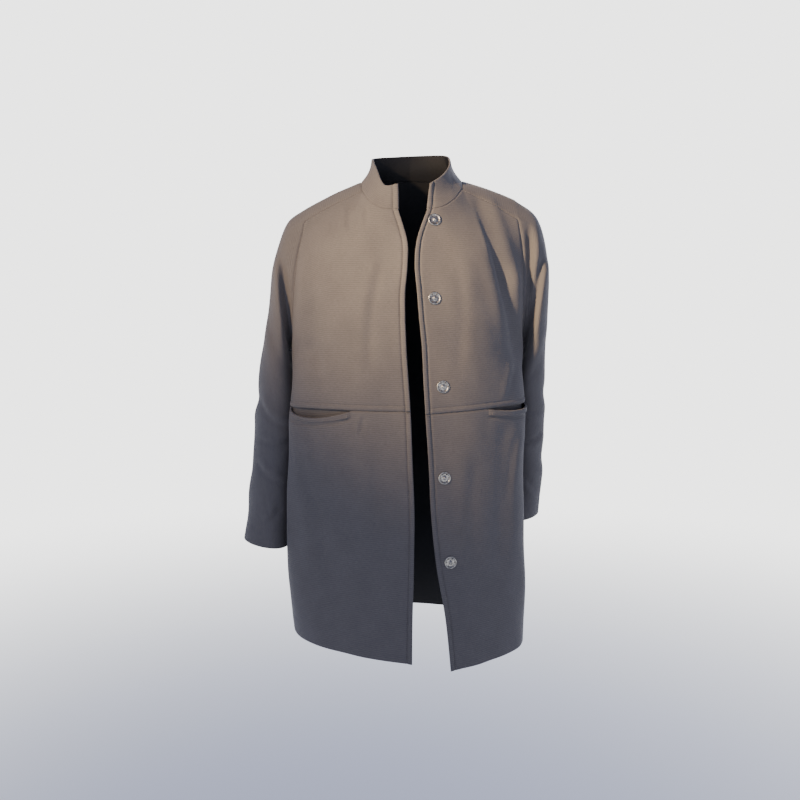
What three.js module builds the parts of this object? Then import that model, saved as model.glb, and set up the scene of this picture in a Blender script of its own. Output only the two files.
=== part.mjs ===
// Stand-collar coat, worn open, kept as an empty hollow.
// Millimetres. +X is the wearer's left, -Y the wearer's front, +Z up.
// The origin is the middle of the neckline at shoulder height, where a wearer carries the coat.
// Every sheet of cloth is described by its outer face. Its thickness goes inward.

import * as THREE from 'three';

// Driving dimensions

const CLOTH = 2.4;
const COLLAR_CLOTH = 3.6;
const POCKET_CLOTH = 1.2;
const WELT_CLOTH = 1.6;
const SEAM_GAP = 0.3;
const WELT_HEIGHT = 10;
const POCKET_DEPTH = 150;
const POCKET_FULLNESS = 12;
const POCKET_FLATNESS = 0.6;
// How far the pocket's back reaches above the seam, and past the mouth as a share of the width
const POCKET_RISE = 5;
const POCKET_SEAM = 0.02;
const SNAP_DIAMETER = 21;
const SNAP_SIDES = 16;
const SNAP_CLEARANCE = 0.8;

// Mesh steps in each part

const FRONT_NECK_STEPS = 5;
const FRONT_SADDLE_STEPS = 5;
const SADDLE_STEPS = 6;
const SADDLE_LENGTH_STEPS = 5;
const BACK_HALF_SADDLE_STEPS = 5;
const BACK_HALF_NECK_STEPS = 5;
const COLLAR_ROWS = 3;
const POCKET_ROWS = 8;
const WELT_ROWS = 2;

// Share of a front's width, and of half a back's, that lies under the neckline at the top
const FRONT_NECK_SHARE = 0.45;
const BACK_NECK_SHARE = 0.5;

const COLORS = { cloth: 0x706660, lining: 0x141418, metal: 0x8c8a88 };

// Turns the rows of a short table into records with the columns' names.
function table(columns, rows) {
  return rows.map((row) => Object.fromEntries(columns.map((name, i) => [name, row[i]])));
}

// Fronts, from the hem up. "out" is measured from the middle line toward the front's own side.
// edge: the free front edge. quarter: halfway to the side. turn: where the front turns to the side.
// side: the side seam, and from "underarm" up the armhole's front half.
// rise lifts the side of a row, and shares of it lift the quarter and the turn.
const QUARTER_RISE = 0.4;
const TURN_RISE = 0.7;
const FRONT_COLUMNS = [
  'name', 'level', 'edgeOut', 'edgeY', 'quarterOut', 'quarterY',
  'turnOut', 'turnY', 'sideOut', 'sideY', 'rise',
];
const FRONTS = {
  right: table(FRONT_COLUMNS, [
    ['hem', -797, 10, -158, 96, -131, 192, -62, 212, 18, 14],
    ['knee', -712, 9, -156, 98, -133, 208, -66, 213, 16, 6],
    ['thigh', -632, 7, -154, 101, -133, 215, -68, 204, 12, 0],
    ['hip', -545, 6, -150, 103, -131, 216, -70, 188, 8, 0],
    ['high hip', -460, 9, -147, 103, -129, 212, -70, 184, 6, 0],
    ['waist', -379, 12, -143, 104, -127, 208, -68, 183, 5, 2],
    ['rib', -330, 15, -141, 105, -125, 205, -60, 187, 5, 0],
    ['underarm', -286, 18, -138, 106, -122, 202, -54, 203, 8, 0],
    ['low armhole', -262, 19, -137, 106, -120, 200, -62, 207, -26, 0],
    ['armhole', -233, 20, -135, 106, -118, 195, -68, 206, -43, 0],
    ['chest', -190, 20, -130, 106, -113, 187, -72, 202, -50, 0],
    ['high chest', -148, 16, -122, 105, -106, 179, -70, 197, -50, 0],
    ['collarbone', -108, 15, -111, 100, -95, 168, -63, 190, -43, 0],
  ]),
  left: table(FRONT_COLUMNS, [
    ['hem', -808, 54, -161, 114, -136, 187, -72, 198, 10, 8],
    ['knee', -720, 45, -159, 113, -137, 191, -74, 192, 12, 3],
    ['thigh', -632, 30, -155, 111, -135, 190, -73, 178, 12, 0],
    ['hip', -545, 21, -151, 109, -132, 188, -71, 166, 12, 0],
    ['high hip', -460, 17, -147, 107, -129, 187, -68, 163, 12, 0],
    ['waist', -379, 12, -143, 105, -127, 188, -64, 163, 10, 6],
    ['rib', -330, 9, -141, 103, -125, 186, -58, 168, 8, 0],
    ['underarm', -282, 7, -138, 102, -121, 182, -54, 182, 8, 0],
    ['low armhole', -258, 5, -137, 101, -119, 179, -60, 186, -24, 0],
    ['armhole', -228, 2, -135, 101, -117, 176, -66, 186, -42, 0],
    ['chest', -186, -1, -130, 100, -112, 171, -70, 187, -51, 0],
    ['high chest', -144, -4, -121, 98, -104, 165, -67, 186, -50, 0],
    ['collarbone', -104, 0, -109, 94, -93, 158, -60, 183, -43, 0],
  ]),
};

// Back, at the same stations: its middle, and a point halfway to each side. From "low armhole" up
// the row also gives the armhole's back half, and below that the side is the front's.
const BACK_COLUMNS = [
  'middleY', 'rightOut', 'rightY', 'leftOut', 'leftY', 'rightSide', 'rightSideY', 'leftSide', 'leftSideY',
];
const BACK = table(BACK_COLUMNS, [
  [128, 172, 98, 160, 94],
  [126, 168, 95, 154, 92],
  [124, 160, 92, 145, 90],
  [122, 152, 90, 137, 89],
  [120, 149, 89, 134, 88],
  [118, 149, 88, 135, 87],
  [118, 152, 88, 139, 87],
  [118, 158, 88, 146, 87],
  [117, 158, 90, 146, 89, 203, 42, 184, 42],
  [116, 156, 92, 144, 91, 201, 57, 183, 57],
  [113, 150, 92, 138, 91, 198, 66, 182, 66],
  [106, 142, 86, 132, 85, 194, 65, 181, 65],
  [96, 132, 75, 124, 74, 189, 56, 180, 56],
]);

// Corners of the shoulder: where the collar and the armhole meet the saddle strip.
const SHOULDERS = {
  right: {
    frontNeck: [-86, -36, -18],
    frontCorner: [-184, -35, -69],
    backNeck: [-84, 31, -1],
    backCorner: [-182, 38, -66],
  },
  left: {
    frontNeck: [81, -39, -14],
    frontCorner: [178, -35, -63],
    backNeck: [84, 31, 1],
    backCorner: [177, 38, -61],
  },
};

// Free points along the collar seam, from each front end back to the saddle strip.
const NECKLINES = {
  right: [[-29, -87, -52], [-51, -82, -50], [-73, -67, -38]],
  left: [[19, -87, -51], [41, -83, -48], [64, -67, -34]],
};
const SADDLE_SEAM_LIFT = 2;
const SADDLE_CROWN = { right: 23, left: 35 };
const NECK_SIDE_CROWN = 10;
const NECK_SIDE_BULGE = 2;
const BACK_NECK_MIDDLE = [0, 62, 12];
const BACK_NECK_ROUND = [50, 54, 8];

// Upper edge of the collar, all the way round from the right front end to the left one.
const COLLAR_TOP = [
  [-30, -77, -12], [-50, -66, -13], [-64, -32, 19], [-69, -4, 36], [-65, 29, 44], [0, 57, 52],
  [61, 31, 50], [66, 0, 39], [62, -28, 24], [48, -55, 6], [26, -74, -10],
];

// How far the collar hollows inward halfway up, at the sides and the back of the neck
const COLLAR_HOLLOW = 4;

// Sleeve rings from the shoulder cap to the cuff, each an ellipse between its outer and inner line.
const RING_COLUMNS = ['name', 'outerOut', 'outerZ', 'innerOut', 'innerZ', 'middleY', 'halfDepth'];
const SLEEVES = {
  right: table(RING_COLUMNS, [
    ['cap', 214, -67, 215, -286, 8, 56],
    ['upper', 240, -143, 214, -298, 8, 59],
    ['biceps', 252, -232, 207, -326, 9, 61],
    ['low biceps', 264, -305, 198, -362, 10, 62],
    ['above elbow', 272, -362, 195, -396, 9, 60],
    ['elbow', 277, -416, 195, -432, 8, 58],
    ['forearm', 283, -490, 202, -494, 2, 55],
    ['wrist', 289, -560, 211, -560, -6, 52],
    ['cuff', 297, -615, 220, -630, -14, 48],
  ]),
  left: table(RING_COLUMNS, [
    ['cap', 217, -56, 195, -282, 8, 56],
    ['upper', 238, -130, 194, -294, 11, 59],
    ['biceps', 240, -228, 187, -322, 16, 61],
    ['low biceps', 240, -305, 177, -358, 24, 61],
    ['above elbow', 242, -362, 174, -392, 30, 59],
    ['elbow', 243, -416, 173, -430, 36, 57],
    ['forearm', 244, -484, 174, -492, 44, 54],
    ['wrist', 243, -540, 174, -548, 52, 51],
    ['cuff', 240, -594, 171, -606, 58, 47],
  ]),
};
// Mesh rows between stations: the skirt's five, the body's eight, and the sleeve's nine
const SKIRT_STEPS = [2, 2, 2, 2, 2];
const BODY_STEPS = [2, 2, 2, 2, 2, 2, 2, 2];
const SLEEVE_STEPS = [1, 2, 2, 2, 2, 2, 2, 2, 2];
const WAIST = 5;
const UNDERARM = 7;
const TOP = 13;

// Creases on the body, each a ridge with a valley beside it: its ends by distance from the middle
// line and height, its width and its depth. side is 1 on the wearer's left and -1 on the right.
const CREASE_COLUMNS = ['face', 'side', 'fromOut', 'fromZ', 'toOut', 'toZ', 'width', 'depth'];
const CREASES = table(CREASE_COLUMNS, [
  ['front', 1, 122, -40, 158, -165, 11, 4.5],
  ['front', 1, 158, -165, 184, -300, 10, 4.5],
  ['front', -1, 182, -120, 176, -290, 12, 2.2],
  ['front', -1, 190, -410, 165, -640, 13, 2.5],
  ['front', 1, 160, -430, 150, -650, 14, 2.2],
  ['back', -1, 112, -150, 92, -740, 24, 5],
  ['back', 1, 104, -140, 96, -760, 24, 5],
]);

// Creases round a sleeve: the ring and the angle of their middle, their reach round the sleeve in
// degrees, their width and slant in rings, and their depth. Each has a shallower ridge beside it.
const SLEEVE_RIDGE_SHARE = 0.6;
const SLEEVE_RIDGE_PLACE = 1.6;
// The creases fade in between these rings
const SLEEVE_CREASE_START = [1, 2];
const SLEEVE_CREASE_COLUMNS = ['ring', 'angle', 'length', 'width', 'tilt', 'depth'];
const SLEEVE_CREASES = table(SLEEVE_CREASE_COLUMNS, [
  [2.2, 60, 60, 0.35, 0.7, 3],
  [3.2, 150, 70, 0.4, -0.8, 4],
  [5.4, 20, 80, 0.3, 0.5, 3.5],
  [6.1, 110, 80, 0.3, -0.6, 4],
  [6.7, -60, 70, 0.3, 0.4, 3],
  [8.0, 70, 60, 0.3, 0.5, 2],
]);

// Pockets in the waist seam: from and to are shares of the front's width, drop and push the lip's gape.
const POCKETS = {
  right: { from: 0.34, to: 0.68, drop: 15, push: 5 },
  left: { from: 0.37, to: 0.72, drop: 10, push: 6 },
};
const LIP_REACH = 75;
// The gape is widest a little past the middle, and flatter than a sine there
const GAPE_LEAN = 1.15;
const GAPE_FLATNESS = 0.8;

// Press studs on the left front and their sockets on the right one: place and height.
const SNAP_STUDS = [[31, -71], [29, -197], [40, -339], [43, -486], [53, -625]];
const SNAP_SOCKETS = [[-54, -78], [-48, -197], [-44, -339], [-37, -486], [-36, -625]];
// Their profiles, as radius and height in shares of the stud's radius
const STUD_PROFILE = [
  [0, 0], [1, 0], [1, 0.08], [0.86, 0.17], [0.62, 0.1], [0.3, 0.12], [0.24, 0.3], [0, 0.34],
];
const SOCKET_PROFILE = [[0, 0], [1, 0], [1, 0.08], [0.86, 0.16], [0.4, 0.16], [0.22, 0.14], [0, 0.06]];

// Curves

const point = (list) => new THREE.Vector3(...list);
const sign = (side) => (side === 'right' ? -1 : 1);

// A point on the curve through all the given points, at position t counted in points.
function along(points, t) {
  const last = points.length - 1;
  const i = Math.min(Math.max(Math.floor(t), 0), last - 1);
  const f = t - i;
  const a = points[i];
  const b = points[i + 1];
  const before = i > 0 ? points[i - 1] : a.clone().multiplyScalar(2).sub(b);
  const after = i + 2 <= last ? points[i + 2] : b.clone().multiplyScalar(2).sub(a);
  const [d0, d1, d2] = [[before, a], [a, b], [b, after]].map(([p, q]) => Math.sqrt(p.distanceTo(q)) || 1);
  const slope = (p, q, r, s0, s1) => q.clone().sub(p).divideScalar(s0)
    .sub(r.clone().sub(p).divideScalar(s0 + s1))
    .add(r.clone().sub(q).divideScalar(s1))
    .multiplyScalar(d1);
  const startSlope = slope(before, a, b, d0, d1);
  const endSlope = slope(a, b, after, d1, d2);
  const f2 = f * f;
  const f3 = f2 * f;
  return a.clone().multiplyScalar(2 * f3 - 3 * f2 + 1)
    .addScaledVector(startSlope, f3 - 2 * f2 + f)
    .addScaledVector(b, 3 * f2 - 2 * f3)
    .addScaledVector(endSlope, f3 - f2);
}

// Station curves

const BODY_ASPECT = 0.55;
// Spans between the named points of a front and of the back
const FRONT_SPANS = 3;
const BACK_SPANS = 4;
// How closely only the cloth next to the side seam follows it
const SEAM_PULL = 6;
// Creases fade in between these distances in front of or behind the sides
const CREASE_FACING = [10, 40];

// The outward direction of the body at a place, level with the ground.
function bodyOutward(p) {
  return new THREE.Vector3(p.x * BODY_ASPECT * BODY_ASPECT, p.y, 0).normalize();
}

// Moves a point of the body in or out where creases pass it.
function creased(p) {
  const q = p.clone();
  for (const crease of CREASES) {
    const facing = crease.face === 'front' ? -p.y : p.y;
    const from = new THREE.Vector2(crease.side * crease.fromOut, crease.fromZ);
    const to = new THREE.Vector2(crease.side * crease.toOut, crease.toZ);
    const line = to.clone().sub(from);
    const length = line.length();
    line.normalize();
    const here = new THREE.Vector2(p.x, p.z).sub(from);
    const run = here.dot(line) / length;
    const beside = here.cross(line) * crease.side;
    const fade = Math.exp(-Math.pow(Math.max(0, -run, run - 1) * length / (2 * crease.width), 2));
    const wave = Math.exp(-Math.pow((beside + crease.width) / crease.width, 2))
      - Math.exp(-Math.pow((beside - crease.width) / crease.width, 2));
    const share = THREE.MathUtils.smoothstep(facing, ...CREASE_FACING);
    q.addScaledVector(bodyOutward(p), crease.depth * share * fade * wave);
  }
  return q;
}

// The four named points of a front at one station.
function frontNet(side, row) {
  const s = sign(side);
  return [
    new THREE.Vector3(s * row.edgeOut, row.edgeY, row.level),
    new THREE.Vector3(s * row.quarterOut, row.quarterY, row.level + row.rise * QUARTER_RISE),
    new THREE.Vector3(s * row.turnOut, row.turnY, row.level + row.rise * TURN_RISE),
    new THREE.Vector3(s * row.sideOut, row.sideY, row.level + row.rise),
  ];
}

// The named points of the back at one station, from the right side to the left one.
function backNet(station) {
  const back = BACK[station];
  const right = frontNet('right', FRONTS.right[station])[3];
  const left = frontNet('left', FRONTS.left[station])[3];
  if (station > UNDERARM) {
    right.set(-back.rightSide, back.rightSideY, right.z);
    left.set(back.leftSide, back.leftSideY, left.z);
  }
  const middleLevel = (right.z + left.z) / 2;
  return [
    right,
    new THREE.Vector3(-back.rightOut, back.rightY, right.z),
    new THREE.Vector3(0, back.middleY, middleLevel),
    new THREE.Vector3(back.leftOut, back.leftY, left.z),
    left,
  ];
}

// Collar seam of a front, from the front end (0) to the saddle strip (1).
function frontNeck(side, t) {
  const points = [...NECKLINES[side], SHOULDERS[side].frontNeck].map(point);
  return along(points, t * (points.length - 1));
}

// Seam between a front and the saddle strip, from the collar (0) to the armhole (1).
function frontSaddle(side, t) {
  const shoulder = SHOULDERS[side];
  const p = point(shoulder.frontNeck).lerp(point(shoulder.frontCorner), t);
  p.z += SADDLE_SEAM_LIFT * Math.sin(Math.PI * t);
  return p;
}

// Seam between the back and the saddle strip, from the collar (0) to the armhole (1).
function backSaddle(side, t) {
  const shoulder = SHOULDERS[side];
  const p = point(shoulder.backNeck).lerp(point(shoulder.backCorner), t);
  p.z += SADDLE_SEAM_LIFT * Math.sin(Math.PI * t);
  return p;
}

// Collar seam of the back, from the middle (0) to the saddle strip (1).
function backNeck(side, t) {
  const round = point(BACK_NECK_ROUND);
  round.x *= sign(side);
  return along([point(BACK_NECK_MIDDLE), round, point(SHOULDERS[side].backNeck)], 2 * t);
}

// Top edge of a front: the neckline, then the saddle seam.
function frontTop(side, u) {
  if (u <= FRONT_NECK_SHARE) {
    return frontNeck(side, u / FRONT_NECK_SHARE);
  }
  return frontSaddle(side, (u - FRONT_NECK_SHARE) / (1 - FRONT_NECK_SHARE));
}

// Top edge of the back, for u from 0 at the right side to 1 at the left one.
function backTop(u) {
  const side = u < 0.5 ? 'right' : 'left';
  const out = Math.abs(u - 0.5) * 2;
  if (out <= BACK_NECK_SHARE) {
    return backNeck(side, out / BACK_NECK_SHARE);
  }
  return backSaddle(side, (out - BACK_NECK_SHARE) / (1 - BACK_NECK_SHARE));
}

// A whole round at one station, as one smooth line up to the underarm.
// Its points are the right front, the back and the left front in turn.
function roundNet(station) {
  const right = frontNet('right', FRONTS.right[station]);
  const left = frontNet('left', FRONTS.left[station]).reverse();
  return [...right, ...backNet(station).slice(1, -1), ...left];
}

// A front's point at share u of its width, at one station.
function frontStation(side, u, station) {
  if (station === TOP) {
    return frontTop(side, u);
  }
  if (station > UNDERARM) {
    return along(frontNet(side, FRONTS[side][station]), FRONT_SPANS * u);
  }
  const round = roundNet(station);
  return along(round, side === 'right' ? FRONT_SPANS * u : round.length - 1 - FRONT_SPANS * u);
}

// The back's point at share u of its width from the right, at one station.
function backStation(u, station) {
  if (station === TOP) {
    return backTop(u);
  }
  if (station > UNDERARM) {
    return along(backNet(station), BACK_SPANS * u);
  }
  return along(roundNet(station), FRONT_SPANS + BACK_SPANS * u);
}

const allStations = Array.from({ length: TOP + 1 }, (_, i) => i);
const seamStations = allStations.slice(0, UNDERARM + 1);

// The side seam between the hem and the underarm, which a front and the back share.
function sideSeam(side, v) {
  return along(seamStations.map((station) => frontStation(side, 1, station)), v);
}

// Draws a panel's points near its side onto the shared seam. nearness is 1 on the seam.
function seamed(p, side, edge, nearness, v) {
  if (v >= UNDERARM) {
    return p;
  }
  return p.addScaledVector(sideSeam(side, v).sub(edge), Math.pow(nearness, SEAM_PULL));
}

function frontSurface(side, u, v) {
  const line = (share) => along(allStations.map((station) => frontStation(side, share, station)), v);
  return creased(seamed(line(u), side, line(1), u, v));
}

function backSurface(u, v) {
  const side = u < 0.5 ? 'right' : 'left';
  const line = (share) => along(allStations.map((station) => backStation(share, station)), v);
  return creased(seamed(line(u), side, line(side === 'right' ? 0 : 1), Math.abs(2 * u - 1), v));
}

// How far a pocket's lip gapes at share u of the front's width, from 0 to 1.
function gape(side, u) {
  const pocket = POCKETS[side];
  const t = (u - pocket.from) / (pocket.to - pocket.from);
  return t > 0 && t < 1 ? Math.pow(Math.sin(Math.PI * Math.pow(t, GAPE_LEAN)), GAPE_FLATNESS) : 0;
}

// A front below the waist seam: its upper edge drops and leans out along the pocket.
function skirtSurface(side, u, v) {
  const p = frontSurface(side, u, v);
  const pocket = POCKETS[side];
  const below = frontSurface(side, u, WAIST).z - p.z;
  const share = gape(side, u) * Math.pow(Math.max(0, 1 - below / LIP_REACH), 2);
  p.addScaledVector(bodyOutward(p), pocket.push * share);
  p.z -= pocket.drop * share;
  return p;
}

// Sheets of cloth, as meshes of outer points

class Sheet {
  constructor(name, thickness, material) {
    this.name = name;
    this.thickness = thickness;
    this.material = material;
    this.points = [];
    this.triangles = [];
    this.known = new Map();
  }

  vertex(p) {
    const key = placeKey(p);
    if (!this.known.has(key)) {
      this.known.set(key, this.points.length);
      this.points.push(p.clone());
    }
    return this.known.get(key);
  }

  // Adds a grid of points. With mirrored true its faces turn the other way.
  addGrid(rows, mirrored) {
    const ids = rows.map((row) => row.map((p) => this.vertex(p)));
    for (let j = 0; j + 1 < ids.length; j++) {
      for (let i = 0; i + 1 < ids[j].length; i++) {
        this.addQuad(ids[j][i], ids[j][i + 1], ids[j + 1][i + 1], ids[j + 1][i], mirrored);
      }
    }
  }

  addQuad(a, b, c, d, mirrored) {
    const [p, q, r, s] = [a, b, c, d].map((id) => this.points[id]);
    const halves = p.distanceTo(r) <= q.distanceTo(s) ? [[a, b, c], [a, c, d]] : [[a, b, d], [b, c, d]];
    for (const [i, j, k] of halves) {
      if (i !== j && j !== k && k !== i) {
        this.triangles.push(mirrored ? [i, k, j] : [i, j, k]);
      }
    }
  }
}

const placeKey = (p) => [p.x, p.y, p.z].map((c) => Math.round(c * 100)).join(',');

function faceNormal(sheet, [a, b, c]) {
  const p = sheet.points[a];
  return sheet.points[b].clone().sub(p).cross(sheet.points[c].clone().sub(p));
}

function vertexNormals(sheet) {
  const normals = sheet.points.map(() => new THREE.Vector3());
  for (const triangle of sheet.triangles) {
    const normal = faceNormal(sheet, triangle);
    triangle.forEach((id) => normals[id].add(normal));
  }
  return normals.map((normal) => normal.normalize());
}

// Edges that belong to one triangle only, as [from, to, triangle].
function freeEdges(sheet) {
  const edges = new Map();
  for (const triangle of sheet.triangles) {
    for (let i = 0; i < 3; i++) {
      const from = triangle[i];
      const to = triangle[(i + 1) % 3];
      if (!edges.delete(`${to},${from}`)) {
        edges.set(`${from},${to}`, [from, to, triangle]);
      }
    }
  }
  return [...edges.values()];
}

// Draws each free edge back into its sheet by half the seam gap.
function insetPoints(sheet, edges) {
  const inward = new Map();
  for (const [from, to, triangle] of edges) {
    const edge = sheet.points[to].clone().sub(sheet.points[from]);
    const direction = faceNormal(sheet, triangle).cross(edge).normalize();
    for (const id of [from, to]) {
      inward.set(id, [...(inward.get(id) ?? []), direction]);
    }
  }
  const points = sheet.points.map((p) => p.clone());
  for (const [id, [one, two]] of inward) {
    const reach = Math.max(1 + one.dot(two), 0.4);
    points[id].addScaledVector(one.clone().add(two), (SEAM_GAP / 2) / reach);
  }
  return points;
}

// A closed solid: the sheet's outer face, its inner face, and a wall along each free edge.
function solidGeometry(sheet, normals) {
  const edges = freeEdges(sheet);
  const outer = insetPoints(sheet, edges);
  const inner = outer.map((p, id) => p.clone().addScaledVector(normals[id], -sheet.thickness));
  const count = outer.length;
  const index = [];
  for (const [a, b, c] of sheet.triangles) {
    index.push(a, b, c);
    index.push(count + a, count + c, count + b);
  }
  for (const [from, to] of edges) {
    // Both sheets at a seam split its wall the same way: from the outer corner of the lower end.
    if (sheet.points[from].z < sheet.points[to].z) {
      index.push(from, count + from, count + to, from, count + to, to);
    } else {
      index.push(to, from, count + from, to, count + from, count + to);
    }
  }
  const geometry = new THREE.BufferGeometry();
  const places = [...outer, ...inner].flatMap((p) => p.toArray());
  geometry.setAttribute('position', new THREE.Float32BufferAttribute(places, 3));
  geometry.setIndex(index);
  geometry.computeVertexNormals();
  return geometry;
}

// Even steps from one share to another, with both ends.
function evenShares(from, to, steps) {
  return Array.from({ length: steps + 1 }, (_, i) => from + ((to - from) * i) / steps);
}

// Shares over a front's width: those under the neckline, then those under the saddle seam.
function frontShares() {
  const neck = evenShares(0, FRONT_NECK_SHARE, FRONT_NECK_STEPS);
  return [...neck, ...evenShares(FRONT_NECK_SHARE, 1, FRONT_SADDLE_STEPS).slice(1)];
}

// Shares over the back's width, the same on both halves.
function backShares() {
  const neck = evenShares(0, BACK_NECK_SHARE, BACK_HALF_NECK_STEPS);
  const half = [...neck, ...evenShares(BACK_NECK_SHARE, 1, BACK_HALF_SADDLE_STEPS).slice(1)];
  return [...half.slice(1).reverse().map((out) => 0.5 - out / 2), ...half.map((out) => 0.5 + out / 2)];
}

// Station positions from one station up, with the given number of rows between each pair.
function rowPositions(first, steps) {
  const positions = [first];
  steps.forEach((count, i) => {
    for (let k = 1; k <= count; k++) {
      positions.push(first + i + k / count);
    }
  });
  return positions;
}

const skirtRows = rowPositions(0, SKIRT_STEPS);
const bodyRows = rowPositions(WAIST, BODY_STEPS);
const armholeRows = bodyRows.filter((v) => v >= UNDERARM);

// Cloth pieces

function frontUpper(side) {
  const sheet = new Sheet(`front_${side}_upper`, CLOTH, 'cloth');
  sheet.addGrid(bodyRows.map((v) => frontShares().map((u) => frontSurface(side, u, v))), side === 'right');
  return sheet;
}

function frontLower(side) {
  const sheet = new Sheet(`front_${side}_lower`, CLOTH, 'cloth');
  sheet.addGrid(skirtRows.map((v) => frontShares().map((u) => skirtSurface(side, u, v))), side === 'right');
  return sheet;
}

function back() {
  const sheet = new Sheet('back', CLOTH, 'cloth');
  const rows = [...skirtRows, ...bodyRows.slice(1)];
  sheet.addGrid(rows.map((v) => backShares().map((u) => backSurface(u, v))), true);
  return sheet;
}

// The end of the saddle strip at the armhole, from the front corner (0) to the back one (1).
function saddleEnd(side, t) {
  const shoulder = SHOULDERS[side];
  const p = point(shoulder.frontCorner).lerp(point(shoulder.backCorner), t);
  p.z += SADDLE_CROWN[side] * Math.sin(Math.PI * t);
  return p;
}

// The end of the saddle strip at the collar, from the front (0) to the back (1).
function saddleNeck(side, t) {
  const shoulder = SHOULDERS[side];
  const p = point(shoulder.frontNeck).lerp(point(shoulder.backNeck), t);
  p.z += NECK_SIDE_CROWN * Math.sin(Math.PI * t);
  p.x += sign(side) * NECK_SIDE_BULGE * Math.sin(Math.PI * t);
  return p;
}

// The saddle strip, for s from the collar (0) to the armhole (1) and t from front to back.
function saddleSurface(side, s, t) {
  const ends = saddleNeck(side, t).lerp(saddleEnd(side, t), s);
  const sides = frontSaddle(side, s).lerp(backSaddle(side, s), t);
  const corners = saddleNeck(side, 0).lerp(saddleNeck(side, 1), t)
    .lerp(saddleEnd(side, 0).lerp(saddleEnd(side, 1), t), s);
  return creased(ends.add(sides).sub(corners));
}

// The armhole all round: the saddle strip's end, down the back, and up the front.
// Each entry holds its place and the angle at which the rings carry it on.
function armhole(side) {
  const places = [];
  for (let i = 0; i <= SADDLE_STEPS; i++) {
    places.push(creased(saddleEnd(side, i / SADDLE_STEPS)));
  }
  const upward = armholeRows.slice(0, -1);
  places.push(...upward.slice().reverse().map((v) => backSurface(side === 'right' ? 0 : 1, v)));
  places.push(...upward.slice(1).map((v) => frontSurface(side, 1, v)));
  return places.map((place) => ({ place, angle: angleRound(side, place) }));
}

// The angle of an armhole point, seen from the side, round the first ring.
function angleRound(side, place) {
  const ring = SLEEVES[side][0];
  const middleZ = (ring.outerZ + ring.innerZ) / 2;
  return Math.atan2((place.y - ring.middleY) / ring.halfDepth, (place.z - middleZ) / (ring.outerZ - middleZ));
}

// A point of a sleeve ring, at an angle from its outer line that grows toward the back.
function ringPoint(side, ring, angle) {
  const middleOut = (ring.outerOut + ring.innerOut) / 2;
  const middleZ = (ring.outerZ + ring.innerZ) / 2;
  return new THREE.Vector3(
    sign(side) * (middleOut + (ring.outerOut - middleOut) * Math.cos(angle)),
    ring.middleY + ring.halfDepth * Math.sin(angle),
    middleZ + (ring.outerZ - middleZ) * Math.cos(angle),
  );
}

// How far a sleeve's creases move it in, at a place along its rings and round them.
function sleeveCrease(position, angle) {
  let depth = 0;
  for (const crease of SLEEVE_CREASES) {
    const away = angle - THREE.MathUtils.degToRad(crease.angle);
    const turn = Math.atan2(Math.sin(away), Math.cos(away));
    const beside = (position - crease.ring - crease.tilt * turn) / crease.width;
    const fade = Math.exp(-Math.pow(turn / THREE.MathUtils.degToRad(crease.length), 2));
    const ridge = SLEEVE_RIDGE_SHARE * Math.exp(-Math.pow(beside - SLEEVE_RIDGE_PLACE, 2));
    depth += crease.depth * fade * (Math.exp(-beside * beside) - ridge);
  }
  return depth * THREE.MathUtils.smoothstep(position, ...SLEEVE_CREASE_START);
}

function sleeveSurface(side, entry, position) {
  const stops = [entry.place, ...SLEEVES[side].map((ring) => ringPoint(side, ring, entry.angle))];
  const p = along(stops, position);
  if (position > 1) {
    const axis = along([entry.place, ...SLEEVES[side].map((ring) => ringCentre(side, ring))], position);
    const outward = p.clone().sub(axis).setZ(0).normalize();
    p.addScaledVector(outward, -sleeveCrease(position, entry.angle));
  }
  return p;
}

function ringCentre(side, ring) {
  return ringPoint(side, ring, 0).add(ringPoint(side, ring, Math.PI)).multiplyScalar(0.5);
}

function sleeve(side) {
  const sheet = new Sheet(`sleeve_${side}`, CLOTH, 'cloth');
  const loop = armhole(side);
  loop.push(loop[0]);
  const tubeRow = (position) => loop.map((entry) => sleeveSurface(side, entry, position));
  sheet.addGrid(rowPositions(0, SLEEVE_STEPS).map(tubeRow), side === 'left');
  const strip = [];
  for (let j = 0; j <= SADDLE_LENGTH_STEPS; j++) {
    const row = [];
    for (let i = 0; i <= SADDLE_STEPS; i++) {
      row.push(saddleSurface(side, j / SADDLE_LENGTH_STEPS, i / SADDLE_STEPS));
    }
    strip.push(row);
  }
  sheet.addGrid(strip, side === 'left');
  return sheet;
}

// The collar seam all round, from the right front end to the left one.
// Each entry holds its place and its position along the collar's upper edge.
function collarSeam() {
  const entries = [];
  const add = (count, place, from, to) => {
    for (let i = 0; i < count; i++) {
      entries.push({ place: creased(place(i / count)), top: from + ((to - from) * i) / count });
    }
  };
  add(FRONT_NECK_STEPS, (t) => frontNeck('right', t), 0, 2);
  add(SADDLE_STEPS, (t) => saddleNeck('right', t), 2, 4);
  add(BACK_HALF_NECK_STEPS, (t) => backNeck('right', 1 - t), 4, 5);
  add(BACK_HALF_NECK_STEPS, (t) => backNeck('left', t), 5, 6);
  add(SADDLE_STEPS, (t) => saddleNeck('left', 1 - t), 6, 8);
  add(FRONT_NECK_STEPS, (t) => frontNeck('left', 1 - t), 8, 10);
  entries.push({ place: creased(frontNeck('left', 0)), top: 10 });
  return entries;
}

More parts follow.
